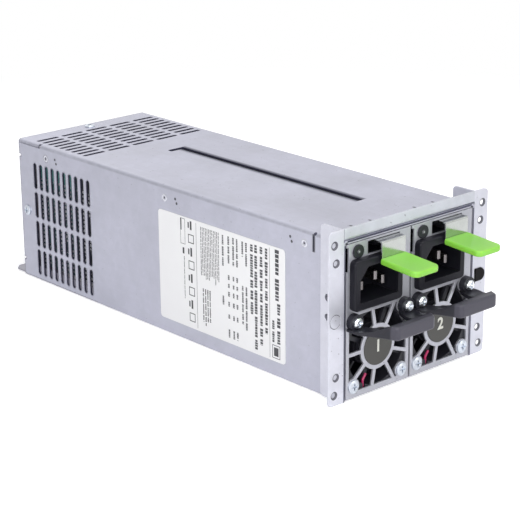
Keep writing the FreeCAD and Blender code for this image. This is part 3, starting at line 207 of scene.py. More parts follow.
class Paint:
    """A node material under construction: its tree, its shader and short calls for nodes."""

    def __init__(self, name, **settings):
        self.material = bpy.data.materials.new(name)
        self.material.use_nodes = True
        self.tree = self.material.node_tree
        self.shader = self.tree.nodes["Principled BSDF"]
        for key, value in settings.items():
            self.shader.inputs[key.replace("_", " ")].default_value = value
        coordinates = self.node("ShaderNodeTexCoord")
        self.place = coordinates.outputs["Object"]

    def node(self, kind, **inputs):
        made = self.tree.nodes.new(kind)
        for key, value in inputs.items():
            made.inputs[key].default_value = value
        return made

    def link(self, output, socket):
        self.tree.links.new(output, socket)

    def stretched(self, scale):
        """Object coordinates multiplied by a size for each axis."""
        mapping = self.node("ShaderNodeMapping", Scale=scale)
        self.link(self.place, mapping.inputs["Vector"])
        return mapping.outputs["Vector"]

    def noise(self, scale, detail=3.0, rough=0.5, vector=None):
        made = self.node("ShaderNodeTexNoise", Scale=scale, Detail=detail, Roughness=rough)
        self.link(vector or self.place, made.inputs["Vector"])
        return made.outputs["Fac"]

    def cells(self, scale):
        """A value of its own for each cell of a Voronoi pattern."""
        made = self.node("ShaderNodeTexVoronoi", Scale=scale)
        self.link(self.place, made.inputs["Vector"])
        split = self.node("ShaderNodeSeparateColor")
        self.link(made.outputs["Color"], split.inputs["Color"])
        return split.outputs["Red"]

    def span(self, value, low, high, source=NOISE_SPAN):
        """Map a value from the source span to low and high, clamped."""
        made = self.node("ShaderNodeMapRange")
        made.inputs["From Min"].default_value = source[0]
        made.inputs["From Max"].default_value = source[1]
        made.inputs["To Min"].default_value = low
        made.inputs["To Max"].default_value = high
        self.link(value, made.inputs["Value"])
        return made.outputs["Result"]

    def maths(self, kind, *values):
        """A Math node of one or two values, each a number or an output."""
        made = self.node("ShaderNodeMath")
        made.operation = kind
        for socket, value in zip(made.inputs, values):
            if isinstance(value, float):
                socket.default_value = value
            else:
                self.link(value, socket)
        return made.outputs["Value"]

    def times(self, *values):
        """The product of two or more values."""
        total = values[0]
        for value in values[1:]:
            total = self.maths("MULTIPLY", total, value)
        return total

    def squared_distance(self, values, middle):
        """The squared distance of a point from a middle, each given as its coordinates."""
        total = None
        for value, place in zip(values, middle):
            offset = self.maths("SUBTRACT", value, place)
            square = self.times(offset, offset)
            total = self.maths("ADD", total, square) if total else square
        return total

    def mix(self, factor, first, second):
        """Blend two colours, each a tuple or an output."""
        made = self.node("ShaderNodeMix")
        made.data_type = "RGBA"
        for name, value in (("A", first), ("B", second)):
            socket = [s for s in made.inputs if s.name == name and s.type == "RGBA"][0]
            if isinstance(value, tuple):
                socket.default_value = value + (1.0,)
            else:
                self.link(value, socket)
        self.link(factor, made.inputs["Factor"])
        return [s for s in made.outputs if s.type == "RGBA"][0]

    def axes(self):
        """The three object coordinates, by name."""
        made = self.node("ShaderNodeSeparateXYZ")
        self.link(self.place, made.inputs["Vector"])
        return made.outputs

    def between(self, value, limits):
        """1 where the value lies between two limits."""
        above = self.maths("GREATER_THAN", value, limits[0])
        below = self.maths("LESS_THAN", value, limits[1])
        return self.times(above, below)

    def rounded(self, radius):
        """The normal of the surface, with its edges rounded by a radius."""
        made = self.node("ShaderNodeBevel", Radius=radius)
        made.samples = EDGE_SAMPLES
        return made.outputs["Normal"]

    def worn_edge(self, radius):
        """Grows from 0 on a flat face to 1 on a sharp edge."""
        plain = self.node("ShaderNodeNewGeometry")
        dot = self.node("ShaderNodeVectorMath")
        dot.operation = "DOT_PRODUCT"
        self.link(self.rounded(radius), dot.inputs[0])
        self.link(plain.outputs["Normal"], dot.inputs[1])
        return self.span(dot.outputs["Value"], 1.0, 0.0, EDGE_COSINES)

    def colour(self, output):
        self.link(output, self.shader.inputs["Base Color"])

    def roughness(self, output):
        self.link(output, self.shader.inputs["Roughness"])

    def relief(self, height, strength, distance=0.0002, edge=0.0):
        """Bump from a height, over edges that are rounded by a small radius."""
        bump = self.node("ShaderNodeBump", Strength=strength, Distance=distance)
        self.link(height, bump.inputs["Height"])
        if edge:
            self.link(self.rounded(edge), bump.inputs["Normal"])
        self.link(bump.outputs["Normal"], self.shader.inputs["Normal"])


# Masks: where the sheets are toned, mostly with painted shade

def fine_cloud(paint):
    """Small patches that the zinc coating, the painted highlight on its edges and the painted shade along its
    bends follow.
    """
    return paint.noise(170.0, detail=5.0, rough=0.65)


def vent_rim(paint):
    """Grows to 1 on the rolled edges of the vents, which are given painted shade."""
    behind = paint.maths("GREATER_THAN", paint.axes()["Y"], VENTS_FRONT_Y)
    return paint.times(behind, paint.worn_edge(VENT_SHADE_REACH))


def bend_line(paint):
    """Patchy painted shade along the outer bends of the folded shell."""
    at = paint.axes()
    start, full, fade = BEND_SHADE_SPAN
    low = paint.span(at["Z"], 0.0, 1.0, (start, full))
    high = paint.span(at["Z"], 1.0, 0.0, (fade, SHELL_TOP))
    near = paint.maths("GREATER_THAN", paint.maths("ABSOLUTE", at["X"]), SHELL_HALF - SHELL_BEND)
    return paint.times(near, low, high, paint.span(fine_cloud(paint), 0.15, 0.75))


def rolled_slot(paint):
    """Painted shade that grows on the roof towards the edges of its long slot."""
    at = paint.axes()
    left, right = SLOT_SIDES
    before = paint.span(at["X"], 0.0, SLOT_SHARE, (left - SLOT_SHADE_REACH, left - SLOT_FLAT[0]))
    after = paint.span(at["X"], SLOT_SHARE, 0.0, (right + SLOT_FLAT[1], right + SLOT_SHADE_REACH))
    return paint.times(before, after, paint.between(at["Y"], SLOT_ENDS))


def slot_step(paint):
    """1 on the side walls in the shallow step around the short slots beside the ears, where painted shade
    lies.
    """
    at = paint.axes()
    along = paint.between(at["Y"], (STEP_Y - STEP_HALF, STEP_Y + STEP_HALF))
    return paint.times(along, paint.between(at["Z"], STEP_ENDS))


def relief_hole(paint):
    """1 around the small hole at the upper end of the slots beside the ears, which is given painted shade."""
    at = paint.axes()
    point = (paint.maths("ABSOLUTE", at["X"]), at["Y"], at["Z"])
    away = paint.squared_distance(point, RELIEF_PLACE)
    return paint.maths("LESS_THAN", away, RELIEF_RADIUS * RELIEF_RADIUS)


def ear_cut_edge(paint):
    """1 on the walls of the ears' holes, which are given painted shade."""
    at = paint.axes()
    inside = paint.between(at["Y"], (FRONT_Y + EAR_SKIN, FRONT_Y + EAR_SHEET - EAR_SKIN))
    across = paint.between(paint.maths("ABSOLUTE", at["X"]), EAR_ACROSS)
    return paint.times(inside, across, paint.between(at["Z"], EAR_UP))


def shell_cut_edge(paint):
    """1 on the walls of the shell's slots and holes, which are given painted shade, but not on the steps of
    pressed marks.
    """
    at = paint.axes()
    side = paint.maths("ABSOLUTE", at["X"])
    before = paint.maths("LESS_THAN", at["Y"], VENTS_FRONT_Y)
    above = paint.maths("GREATER_THAN", at["Z"], VENTS_TOP_Z)
    pressed = paint.times(paint.maths("MAXIMUM", before, above), MARK_DEPTH)
    outer = paint.maths("SUBTRACT", SHELL_HALF - SHELL_SKIN, pressed)
    wall = paint.between(side, (SHELL_HALF - SHELL_SHEET + SHELL_SKIN, outer))
    wall = paint.times(wall, paint.maths("LESS_THAN", at["Z"], SHELL_TOP - SHELL_BEND))
    roof = paint.between(at["Z"], (SHELL_TOP - SHELL_SHEET + SHELL_SKIN, SHELL_TOP - SHELL_SKIN))
    roof = paint.times(roof, paint.maths("LESS_THAN", side, SHELL_HALF - SHELL_BEND))
    return paint.maths("MAXIMUM", wall, roof)


# Painted shade on a sheet, in the order in which it is laid on: a mask and the tone that it shows
SHELL_MARKS = (
    (vent_rim, CUT_SHADE_TONE),
    (bend_line, shade(SHELL_TONE, BEND_SHADE)),
    (slot_step, shade(SHELL_TONE, STEP_SHADE)),
    (rolled_slot, SLOT_SHADE_TONE),
    (relief_hole, CUT_SHADE_TONE),
    (shell_cut_edge, CUT_SHADE_TONE))
EAR_MARKS = ((ear_cut_edge, EAR_CUT_SHADE_TONE),)


# Materials

def galvanised(name, base, rough, marks):
    """Zinc-coated sheet: clouds, faint spangle, drawn streaks, specks, painted highlights along edges and
    marks of painted shade.
    """
    paint = Paint(name, Metallic=0.55)
    cloud = paint.noise(28.0, detail=4.0, rough=0.6)
    patches = fine_cloud(paint)
    grain = paint.noise(1.0, rough=0.6, vector=paint.stretched((1400.0, 90.0, 1400.0)))
    drawn = paint.noise(1.0, detail=2.0, vector=paint.stretched((700.0, 12.0, 700.0)))
    specks = paint.noise(750.0, detail=1.0, rough=0.4)
    dark = shade(base, ZINC_DARK)
    light = shade(base, ZINC_LIGHT)
    tint = paint.mix(paint.span(cloud, 0.0, 1.0), dark, light)
    tint = paint.mix(paint.span(patches, 0.0, 0.45, (0.45, 0.75)), tint, light)
    tint = paint.mix(paint.span(paint.cells(300.0), 0.0, 0.28, (0.0, 1.0)), tint, dark)
    tint = paint.mix(paint.span(drawn, 0.0, 0.06, (0.52, 0.72)), tint, dark)
    tint = paint.mix(paint.span(specks, 0.0, 0.65, (0.745, 0.80)), tint, SPECK_TONE)
    # Painted highlight along sharp edges, patchy with the fine cloud
    wear = paint.times(paint.worn_edge(0.00035), paint.span(patches, 0.35, 1.0))
    tint = paint.mix(wear, tint, shade(base, ZINC_EDGE_HIGHLIGHT))
    for mask, tone in marks:
        tint = paint.mix(mask(paint), tint, tone)
    paint.colour(tint)
    gloss = paint.span(cloud, rough - 0.06, rough + 0.09)
    paint.roughness(paint.maths("ADD", gloss, paint.span(drawn, 0.0, 0.05)))
    paint.relief(grain, strength=0.015, distance=0.0001, edge=0.0003)
    return paint.material


def moulded(name, base, rough, grain=1800.0, strength=0.12, edge=0.0003, vary=0.18, wear=0.0,
            grip=None, **settings):
    """Moulded plastic, film or ink: fine texture, uneven gloss, a painted highlight along sharp edges and a
    painted sheen on a handle's front face.
    """
    paint = Paint(name, **settings)
    fine = paint.noise(grain, detail=2.0)
    broad = paint.noise(60.0)
    lighter = tuple(min(1.0, value * (1.0 + vary) + 0.01 * vary) for value in base)
    tint = paint.mix(paint.span(broad, 0.0, 1.0), base, lighter)
    # Painted highlight along sharp edges
    if wear:
        highlighted_tone = tuple(min(1.0, value + wear) for value in base)
        highlight_mask = paint.times(paint.worn_edge(0.0004), paint.span(broad, 0.3, 1.0))
        tint = paint.mix(highlight_mask, tint, highlighted_tone)
    # Painted sheen on the front face of a handle's bar
    if grip:
        sheen_mask = paint.span(paint.axes()["Y"], 1.0, 0.0, (SHEEN_FRONT_Y, SHEEN_FRONT_Y + SHEEN_FADE))
        tint = paint.mix(sheen_mask, tint, grip)
    paint.colour(tint)
    paint.roughness(paint.span(broad, rough - 0.06, rough + 0.08))
    paint.relief(fine, strength, distance=0.0001, edge=edge)
    return paint.material


def plated(name, base, rough):
    """Bright metal with soft blotches in its gloss."""
    paint = Paint(name, Metallic=1.0)
    blot = paint.noise(420.0)
    fine = paint.noise(2600.0, detail=2.0)
    paint.colour(paint.mix(paint.span(blot, 0.0, 1.0), shade(base, 0.9), base))
    paint.roughness(paint.span(blot, rough - 0.06, rough + 0.10))
    paint.relief(fine, strength=0.05, distance=0.0001, edge=0.0002)
    return paint.material


def circuit(name):
    """Teal solder mask with tracks, and solder joints in rows below the plain upper part."""
    paint = Paint(name, Roughness=0.35)
    at = paint.axes()
    cell = [paint.maths("FRACT", paint.times(at[axis], 1.0 / JOINT_PITCH)) for axis in ("Y", "Z")]
    round_spots = paint.maths("LESS_THAN", paint.squared_distance(cell, (0.5, 0.5)), JOINT_SHARE)
    crowded = paint.maths("GREATER_THAN", paint.noise(170.0, detail=1.0, rough=0.4), JOINT_CROWD)
    joints = paint.times(round_spots, crowded, paint.maths("LESS_THAN", at["Z"], JOINTS_TOP))
    tracks = paint.noise(1.0, detail=1.0, rough=0.3, vector=paint.stretched((500.0, 130.0, 500.0)))
    mask = paint.mix(paint.span(tracks, 0.0, 1.0, (0.48, 0.52)), (0.030, 0.075, 0.085), (0.075, 0.190, 0.190))
    field = paint.times(paint.span(at["Z"], 0.0, 1.0, FIELD_FOOT), paint.between(at["Y"], FIELD_ENDS))
    mask = paint.mix(field, mask, (0.15, 0.48, 0.43))
    mask = paint.mix(paint.between(at["Y"], DARK_ENDS), mask, (0.008, 0.012, 0.020))
    paint.colour(paint.mix(joints, mask, (0.86, 0.88, 0.90)))
    paint.relief(joints, strength=0.5, distance=0.0004)
    return paint.material


def sleeve(name):
    """Shrink sleeve of a capacitor, dark blue with a soft waviness."""
    paint = Paint(name, Roughness=0.3)
    wave = paint.noise(90.0, detail=1.0)
    paint.colour(paint.mix(paint.span(wave, 0.0, 1.0), (0.012, 0.018, 0.04), (0.03, 0.04, 0.08)))
    paint.relief(wave, strength=0.05)
    return paint.material


def windings(name):
    """Enamelled copper wire laid side by side."""
    paint = Paint(name, Metallic=0.5)
    wires = paint.node("ShaderNodeTexWave", Scale=900.0, Distortion=1.5)
    paint.link(paint.place, wires.inputs["Vector"])
    blot = paint.noise(200.0)
    copper = paint.mix(paint.span(blot, 0.0, 1.0), (0.36, 0.15, 0.06), (0.50, 0.25, 0.11))
    paint.colour(paint.mix(wires.outputs["Fac"], (0.10, 0.04, 0.02), copper))
    paint.roughness(paint.span(blot, 0.25, 0.4))
    paint.relief(wires.outputs["Fac"], strength=0.4)
    return paint.material


def lens(name):
    """Smoked lens of a light that is off, with the pale chip in its middle."""
    paint = Paint(name)
    blot = paint.noise(300.0, detail=2.0)
    at = paint.axes()
    nearest = None
    for number in MODULES:
        middle = middle_of("module_%d_light_lens" % number)
        away = paint.maths("SQRT", paint.squared_distance((at["X"], at["Z"]), (middle.x, middle.z)))
        nearest = paint.maths("MINIMUM", nearest, away) if nearest else away
    smoke = paint.mix(paint.span(blot, 0.0, 1.0), (0.05, 0.05, 0.06), (0.09, 0.09, 0.10))
    paint.colour(paint.mix(paint.span(nearest, 1.0, 0.0, CHIP_RADII), smoke, (0.34, 0.35, 0.36)))
    paint.roughness(paint.span(blot, 0.12, 0.25))
    paint.relief(blot, strength=0.03)
    return paint.material


# Sheets: slot, colour, roughness and marks of painted shade
SHEETS = (
    ("galvanised_shell", SHELL_TONE, 0.42, SHELL_MARKS),
    ("galvanised_front", (0.60, 0.605, 0.67), 0.36, EAR_MARKS),
    ("galvanised_inner", (0.44, 0.445, 0.505), 0.45, ()),
    # Painted shade: a darker copy of the sheet for the face plates
    ("galvanised_face_shaded", (0.425, 0.43, 0.475), 0.36, ()),
    ("galvanised_lip", (0.54, 0.56, 0.61), 0.36, ()),
    # Painted shade: a darker copy of the sheet for the base
    ("galvanised_floor_shaded", (0.33, 0.325, 0.37), 0.42, ()))

# Bright metals: slot, colour and roughness
METALS = (
    ("bright_steel", (0.52, 0.54, 0.52), 0.14),
    ("dull_screw", (0.60, 0.64, 0.70), 0.32),
    ("zinc_screw", (0.80, 0.83, 0.88), 0.25),
    ("plated_brass", (0.24, 0.222, 0.225), 0.30),
    ("copper", (0.80, 0.42, 0.26), 0.30),
    ("sink_aluminium", (0.72, 0.73, 0.75), 0.35))

# Plastics and films: slot, colour, roughness and what else differs
PLASTICS = (
    ("black_plastic", (0.014, 0.014, 0.020), 0.38,
     {"wear": 0.04, "grip": (0.055, 0.053, 0.069), "Specular_IOR_Level": 0.30}),
    ("inlet_plastic", (0.009, 0.009, 0.013), 0.38, {"wear": 0.03, "Specular_IOR_Level": 0.16}),
    ("fan_plastic", (0.014, 0.014, 0.019), 0.42, {"Specular_IOR_Level": 0.35}),
    ("button_plastic", (0.006, 0.005, 0.006), 0.45, {"Specular_IOR_Level": 0.08}),
    ("green_plastic", (0.196, 0.515, 0.048), 0.34,
     {"grain": 900.0, "strength": 0.06, "edge": 0.0005, "vary": 0.10, "wear": 0.05,
      "Subsurface_Weight": 0.08}),
    ("black_rubber", (0.016, 0.016, 0.017), 0.65, {"grain": 2600.0, "strength": 0.2}),
    ("ferrite", (0.04, 0.04, 0.045), 0.6, {}),
    ("label_film", (0.81, 0.81, 0.81), 0.42, {"grain": 900.0, "strength": 0.03, "vary": 0.02}),
    ("hub_film", (0.033, 0.032, 0.028), 0.34, {"grain": 700.0, "strength": 0.04, "vary": 0.25}),
    ("red_lead", (0.36, 0.012, 0.085), 0.35, {"grain": 400.0, "strength": 0.05}))

# Slots with a recipe of their own
RECIPES = (
    ("circuit_board", circuit),
    ("small_parts", windings),
    ("capacitor_sleeve", sleeve),
    ("light_lens", lens))

# Nodes whose finish differs a little from that of their slot; the face plates and the base get darker copies
# of their sheet as painted shade
OWN_FINISH = {
    "reset_button": "button_plastic",
    "front_lip": "galvanised_lip",
    "chassis_base": "galvanised_floor_shaded",
    "chassis_screws": "dull_screw",
    "module_1_face_plate": "galvanised_face_shaded",
    "module_2_face_plate": "galvanised_face_shaded",
    "module_1_fan_screws": "dull_screw",
    "module_2_fan_screws": "dull_screw"}


def make_materials():
    """One material for each slot of the solids, and those that OWN_FINISH adds."""
    made = {name: galvanised(name, base, rough, marks) for name, base, rough, marks in SHEETS}
    made.update({name: plated(name, base, rough) for name, base, rough in METALS})
    made.update({name: moulded(name, base, rough, **more) for name, base, rough, more in PLASTICS})
    made.update({name: recipe(name) for name, recipe in RECIPES})
    return made


def dress_nodes(materials):
    for part in frame["record"]["subparts"]:
        mesh = nodes[part["node"]].data
        chosen = materials[OWN_FINISH.get(part["node"], part["material_slot"])]
        if not mesh.materials:
            mesh.materials.append(chosen)
        for index in range(len(mesh.materials)):
            mesh.materials[index] = chosen


# Print and punched marks

def add_piece(name, vertices, faces, material, body):
    mesh = bpy.data.meshes.new(name)
    mesh.from_pydata(vertices, [], faces)
    mesh.materials.append(material)
    piece = bpy.data.objects.new(name, mesh)
    bpy.context.scene.collection.objects.link(piece)
    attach(piece, body)


# Bars in place of text: how many stand in a group, and their sizes and gaps as shares of a row's height
GROUP_COUNT = (3, 9)
BAR_WIDTH = (0.38, 0.66)
BAR_HEIGHT = (0.74, 1.0)
BAR_GAP = 0.13
GROUP_GAP = 0.55
MILLIMETRES = 1000.0


class Sheet:
    """Flat print on the left wall: x is fixed, the text runs downwards, rows go to the rear.

    Its sizes are millimetres: a row lies that far from the front edge, and a start from the top edge.
    """

    def __init__(self, corner_y, corner_z, x):
        self.corner_y = corner_y
        self.corner_z = corner_z
        self.x = x
        self.vertices = []
        self.faces = []

    def block(self, row, start, length, height):
        """Filled rectangle with its middle line on the row."""
        first = len(self.vertices)
        for along, down in ((-0.5, 0.0), (0.5, 0.0), (0.5, 1.0), (-0.5, 1.0)):
            y = self.corner_y + (row + along * height) / MILLIMETRES
            z = self.corner_z - (start + down * length) / MILLIMETRES
            self.vertices.append((self.x, y, z))
        self.faces.append((first + 3, first + 2, first + 1, first))

    def outline(self, row, start, length, height, line):
        """Empty rectangle drawn with a line."""
        for side in (-0.5, 0.5):
            self.block(row + side * (height - line), start, length, line)
        self.block(row, start, line, height)
        self.block(row, start + length - line, line, height)

    def bars(self, source, row, start, end, height):
        """A row of small plain bars in groups, in place of a line of text."""
        place = start
        group = source.randint(*GROUP_COUNT)
        while place < end:
            width = height * source.uniform(*BAR_WIDTH)
            tall = height * source.uniform(*BAR_HEIGHT)
            self.block(row, place, min(width, end - place), tall)
            place += width + height * BAR_GAP
            group -= 1
            if group == 0:
                place += height * GROUP_GAP
                group = source.randint(*GROUP_COUNT)


# Seed of the bars' random widths and heights
LABEL_SEED = 11

# Rows of bars on the label, in millimetres: row, start, end and, in the header and the foot, height
HEADER_ROWS = ((5.7, 1.2, 26.7, 3.0), (4.6, 28.0, 48.6, 2.4), (8.4, 37.1, 48.6, 1.8))
BOLD_HEIGHT = 2.1
BOLD_ROWS = ((13.2, 2.3, 45.4), (16.8, 2.4, 52.2), (20.6, 2.3, 55.5), (23.6, 2.7, 38.4))
TABLE_HEIGHT = 1.35
TABLE_ROWS = ((27.5, 2.9, 14.8), (27.5, 25.4, 47.6), (30.2, 2.8, 10.4), (30.2, 25.4, 45.0),
              (44.6, 2.8, 19.0), (44.6, 34.0, 38.6))
COLUMN_ROWS = (34.2, 36.9, 40.4)
COLUMNS = ((2.6, 16.8), (22.4, 24.8), (26.9, 28.9), (31.0, 33.4), (36.2, 38.6), (42.8, 45.2), (50.6, 54.8))
FOOT_ROW = (74.1, 20.8, 43.0, 0.55)

# Blocks of small print: first and last row, start, end, height and step, and how ragged their ends are
SMALL_PRINT = ((47.8, 62.2, 2.4, 30.5, 0.62, 1.2), (54.7, 60.8, 34.2, 54.3, 0.95, 1.7))
RAGGED_END = 4.0

# Rules across the label: their rows, their distance from its edges and their line
LABEL_RULES = (10.9, 64.6)
RULE_INSET = 1.2
RULE_LINE = 0.22

# Rectangles of the label: row, start, length and height, and the line of those that are empty
HEADER_OUTLINE = (6.45, 49.4, 6.8, 5.5, 0.35)
HEADER_BLOCK = (6.45, 50.6, 4.4, 3.2)
FOOT_OUTLINE = (74.9, 1.0, 13.4, 3.6, 0.25)
FOOT_BLOCKS = ((76.1, 1.3, 6.0, 0.7), (74.6, 16.2, 3.2, 1.3))

# The line of plain shapes at the rear of the label: their number, row, start, step and length. Outlines,
# with their height and line, take turns with blocks, with their height. A second block stands beside each:
# rows away, inset, length and height.
SHAPE_COUNT = 8
SHAPE_ROW = 68.6
SHAPE_START = 1.3
SHAPE_STEP = 6.9
SHAPE_LENGTH = 4.6
SHAPE_OUTLINE = (4.4, 0.45)
SHAPE_BLOCK = 1.3
SHAPE_SECOND = (1.9, 0.8, 3.0, 1.0)


def add_label_shapes(sheet):
    """Outlined rectangles and pairs of blocks by turns."""
    for index in range(SHAPE_COUNT):
        start = SHAPE_START + index * SHAPE_STEP
        if index % 2:
            sheet.outline(SHAPE_ROW, start, SHAPE_LENGTH, *SHAPE_OUTLINE)
        else:
            row, inset, length, height = SHAPE_SECOND
            sheet.block(SHAPE_ROW, start, SHAPE_LENGTH, SHAPE_BLOCK)
            sheet.block(SHAPE_ROW + row, start + inset, length, height)


def add_label_print():
    """Plain bars, rules and rectangles where the photograph's label has its print."""
    low, high = reach_of("rating_label")
    sheet = Sheet(low.y, high.z, low.x - PRINT_LIFT)
    source = random.Random(LABEL_SEED)
    width = (high.z - low.z) * MILLIMETRES
    for row in HEADER_ROWS:
        sheet.bars(source, *row)
    sheet.outline(*HEADER_OUTLINE)
    sheet.block(*HEADER_BLOCK)
    for row in LABEL_RULES:
        sheet.block(row, RULE_INSET, width - 2.0 * RULE_INSET, RULE_LINE)
    for row in BOLD_ROWS:
        sheet.bars(source, *row, BOLD_HEIGHT)
    for row in TABLE_ROWS:
        sheet.bars(source, *row, TABLE_HEIGHT)
    for row in COLUMN_ROWS:
        for column in COLUMNS:
            sheet.bars(source, row, *column, TABLE_HEIGHT)
    for row, last, start, end, height, step in SMALL_PRINT:
        while row < last:
            sheet.bars(source, row, start, end - source.uniform(0.0, RAGGED_END), height)
            row += step
    add_label_shapes(sheet)
    sheet.outline(*FOOT_OUTLINE)
    for block in FOOT_BLOCKS:
        sheet.block(*block)
    sheet.bars(source, *FOOT_ROW)
    ink = moulded("print_ink", (0.022, 0.022, 0.025), 0.5, grain=2400.0, strength=0.05, vary=1.6)
    add_piece("label_print", sheet.vertices, sheet.faces, ink, "chassis")


def add_hub_numbers():
    """A plain bay number on each hub disc."""
    ink = moulded("number_ink", (0.62, 0.62, 0.56), 0.5, grain=2400.0, strength=0.05, vary=0.12)
    for number in MODULES:
        disc = "module_%d_hub_disc" % number
        middle = middle_of(disc)
        front = reach_of(disc)[0].y - PRINT_LIFT
        digits = bpy.data.curves.new("digits", "FONT")
        digits.body = str(number)
        digits.size = NUMBER_SIZE
        digits.offset = NUMBER_WEIGHT
        digits.align_x = "CENTER"
        digits.align_y = "CENTER"
        writing = bpy.data.objects.new("digits", digits)
        flat = bpy.data.meshes.new_from_object(writing)
        vertices = [(v.co.x + middle.x, front, v.co.y + middle.z) for v in flat.vertices]
        faces = [tuple(face.vertices) for face in flat.polygons]
        add_piece("module_%d_number" % number, vertices, faces, ink, "module_%d" % number)
        bpy.data.objects.remove(writing)
        bpy.data.meshes.remove(flat)


def circle(reach):
    """Corners of a circle or an ellipse around the origin, from its reach along two axes."""
    turns = [2.0 * math.pi * step / CORNERS for step in range(CORNERS)]
    return [(reach[0] * math.cos(turn), reach[1] * math.sin(turn)) for turn in turns]


def wall_circle(side, y, z, radius, lift):
    """Corners of a small circle on a side wall, in the order that faces outwards."""
    return [(side * (SHELL_HALF + lift), y + along, z + up) for along, up in circle((radius, side * radius))]


def add_punched_dots():
    """Dark weld spots of the roof, and dots of painted shade in each clinch mark and beside it."""
    spots = []
    for place, towards in zip(CLINCH_PLACES, DOTS_TOWARDS):
        spots.append((place, CLINCH_Z, CLINCH_DOT))
        for along, up in DOTS_APART:
            spots.append((place + towards * DOTS_AWAY + along, CLINCH_Z + up, DOT_RADIUS))
    rings = []
    for place in WELD_PLACES:
        rings.append([(place + x, WELD_Y + y, SHELL_TOP + PRINT_LIFT) for x, y in circle(WELD_REACH)])
    for side in (-1.0, 1.0):
        for y, z, radius in spots:
            rings.append(wall_circle(side, y, z, radius, PRINT_LIFT))
    vertices = [corner for ring in rings for corner in ring]
    faces = [tuple(range(first, first + CORNERS)) for first in range(0, len(vertices), CORNERS)]
    dark = moulded("punched_dot", (0.05, 0.05, 0.06), 0.6, grain=2400.0, strength=0.2, vary=0.6)
    add_piece("punched_dots", vertices, faces, dark, "chassis")


def add_clinch_rims():
    """The upset rim around each clinch mark: a low ring with a rounded crest, bright as a painted highlight.
    """
    vertices = []
    faces = []
    for side in (-1.0, 1.0):
        for y in CLINCH_PLACES:
            first = len(vertices)
            for radius, lift in RIM_PROFILE:
                vertices += wall_circle(side, y, CLINCH_Z, radius, lift)
            for ring in range(len(RIM_PROFILE) - 1):
                for step in range(CORNERS):
                    after = (step + 1) % CORNERS
                    low = first + ring * CORNERS
                    high = low + CORNERS
                    faces.append((low + step, high + step, high + after, low + after))
    rim = plated("clinch_rim", (0.70, 0.71, 0.76), 0.2)
    add_piece("clinch_rims", vertices, faces, rim, "chassis")


# Stage and light

# Lamps: name, place, side of the square, power in watts and tone
LAMPS = (
    ("key", (0.55, -1.25, 0.95), 0.9, 6.0, (1.0, 1.0, 1.0)),
    ("top", (0.12, -0.30, 1.5), 1.3, 11.8, (1.0, 0.97, 0.985)),
    ("left", (-0.55, -0.62, 0.35), 0.55, 4.9, (1.0, 1.0, 1.0)),
    ("rear", (0.5, 1.5, 0.9), 1.0, 2.0, (1.0, 1.0, 1.0)))
LAMP_TARGET = (0.0, 0.0, 0.04)

# The soft light of the world on the object, and the white that the camera and reflections see
SOFT_TONE = (0.93, 0.95, 1.0, 1.0)
SOFT_STRENGTH = 0.36
WHITE = (1.0, 1.0, 1.0, 1.0)

# The floor: half its side, how far it lies below the part, its colour, the glow that makes it white,
# and the distances from the middle between which it turns plain white
FLOOR_HALF = 3.0
FLOOR_DROP = 0.0004
FLOOR_TONE = (0.86, 0.86, 0.87, 1.0)
FLOOR_GLOW = 0.45
FLOOR_FADE = (0.20, 0.60)


def add_lights():
    for name, place, side, power, tone in LAMPS:
        data = bpy.data.lights.new(name, "AREA")
        data.shape = "SQUARE"
        data.size = side
        data.energy = power
        data.color = tone
        lamp = bpy.data.objects.new(name, data)
        lamp.location = place
        lamp.rotation_euler = (Vector(LAMP_TARGET) - Vector(place)).to_track_quat("-Z", "Y").to_euler()
        bpy.context.scene.collection.objects.link(lamp)


def shows_white(tree):
    """1 for camera, glossy and transmission rays."""
    path = tree.nodes.new("ShaderNodeLightPath")
    total = path.outputs["Is Camera Ray"]
    for name in ("Is Glossy Ray", "Is Transmission Ray"):
        add = tree.nodes.new("ShaderNodeMath")
        add.operation = "MAXIMUM"
        tree.links.new(total, add.inputs[0])
        tree.links.new(path.outputs[name], add.inputs[1])
        total = add.outputs["Value"]
    return total


def mixed_shader(tree, factor, first, second):
    """Blend the first outputs of two shader nodes."""
    made = tree.nodes.new("ShaderNodeMixShader")
    tree.links.new(factor, made.inputs[0])
    tree.links.new(first.outputs[0], made.inputs[1])
    tree.links.new(second.outputs[0], made.inputs[2])
    return made


def add_world():
    world = bpy.data.worlds.new("studio")
    bpy.context.scene.world = world
    world.use_nodes = True
    tree = world.node_tree
    tree.nodes.clear()
    soft = tree.nodes.new("ShaderNodeBackground")
    soft.inputs["Color"].default_value = SOFT_TONE
    soft.inputs["Strength"].default_value = SOFT_STRENGTH
    white = tree.nodes.new("ShaderNodeBackground")
    white.inputs["Color"].default_value = WHITE
    mixed = mixed_shader(tree, shows_white(tree), soft, white)
    out = tree.nodes.new("ShaderNodeOutputWorld")
    tree.links.new(mixed.outputs[0], out.inputs["Surface"])


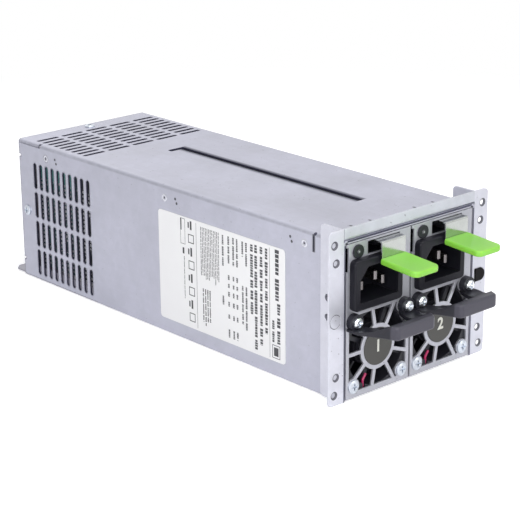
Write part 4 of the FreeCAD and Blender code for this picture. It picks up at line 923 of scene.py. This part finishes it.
def away_from_part(tree):
    """Grows from 0 under the part to 1 where the floor is plain white."""
    place = tree.nodes.new("ShaderNodeTexCoord")
    length = tree.nodes.new("ShaderNodeVectorMath")
    length.operation = "LENGTH"
    reach = tree.nodes.new("ShaderNodeMapRange")
    reach.inputs["From Min"].default_value = FLOOR_FADE[0]
    reach.inputs["From Max"].default_value = FLOOR_FADE[1]
    tree.links.new(place.outputs["Object"], length.inputs[0])
    tree.links.new(length.outputs["Value"], reach.inputs["Value"])
    return reach.outputs["Result"]


def floor_material():
    """Pale and matt for the object's light, glowing towards plain white where it is seen."""
    material = bpy.data.materials.new("floor")
    material.use_nodes = True
    tree = material.node_tree
    shader = tree.nodes["Principled BSDF"]
    shader.inputs["Base Color"].default_value = FLOOR_TONE
    shader.inputs["Roughness"].default_value = 0.9
    shader.inputs["Specular IOR Level"].default_value = 0.0
    glow = tree.nodes.new("ShaderNodeEmission")
    glow.inputs["Strength"].default_value = FLOOR_GLOW
    lifted = tree.nodes.new("ShaderNodeAddShader")
    tree.links.new(shader.outputs[0], lifted.inputs[0])
    tree.links.new(glow.outputs[0], lifted.inputs[1])
    white = tree.nodes.new("ShaderNodeEmission")
    seen = mixed_shader(tree, away_from_part(tree), lifted, white)
    mixed = mixed_shader(tree, shows_white(tree), shader, seen)
    tree.links.new(mixed.outputs[0], tree.nodes["Material Output"].inputs["Surface"])
    return material


def add_floor():
    mesh = bpy.data.meshes.new("floor")
    corners = [(x * FLOOR_HALF, y * FLOOR_HALF, 0.0) for x, y in ((-1, -1), (1, -1), (1, 1), (-1, 1))]
    mesh.from_pydata(corners, [], [(0, 1, 2, 3)])
    mesh.materials.append(floor_material())
    floor = bpy.data.objects.new("floor", mesh)
    floor.location.z = -FLOOR_DROP
    bpy.context.scene.collection.objects.link(floor)


add_camera()
dress_nodes(make_materials())
add_label_print()
add_hub_numbers()
add_punched_dots()
add_clinch_rims()
add_world()
add_floor()
add_lights()
bpy.context.scene.view_settings.view_transform = "Standard"
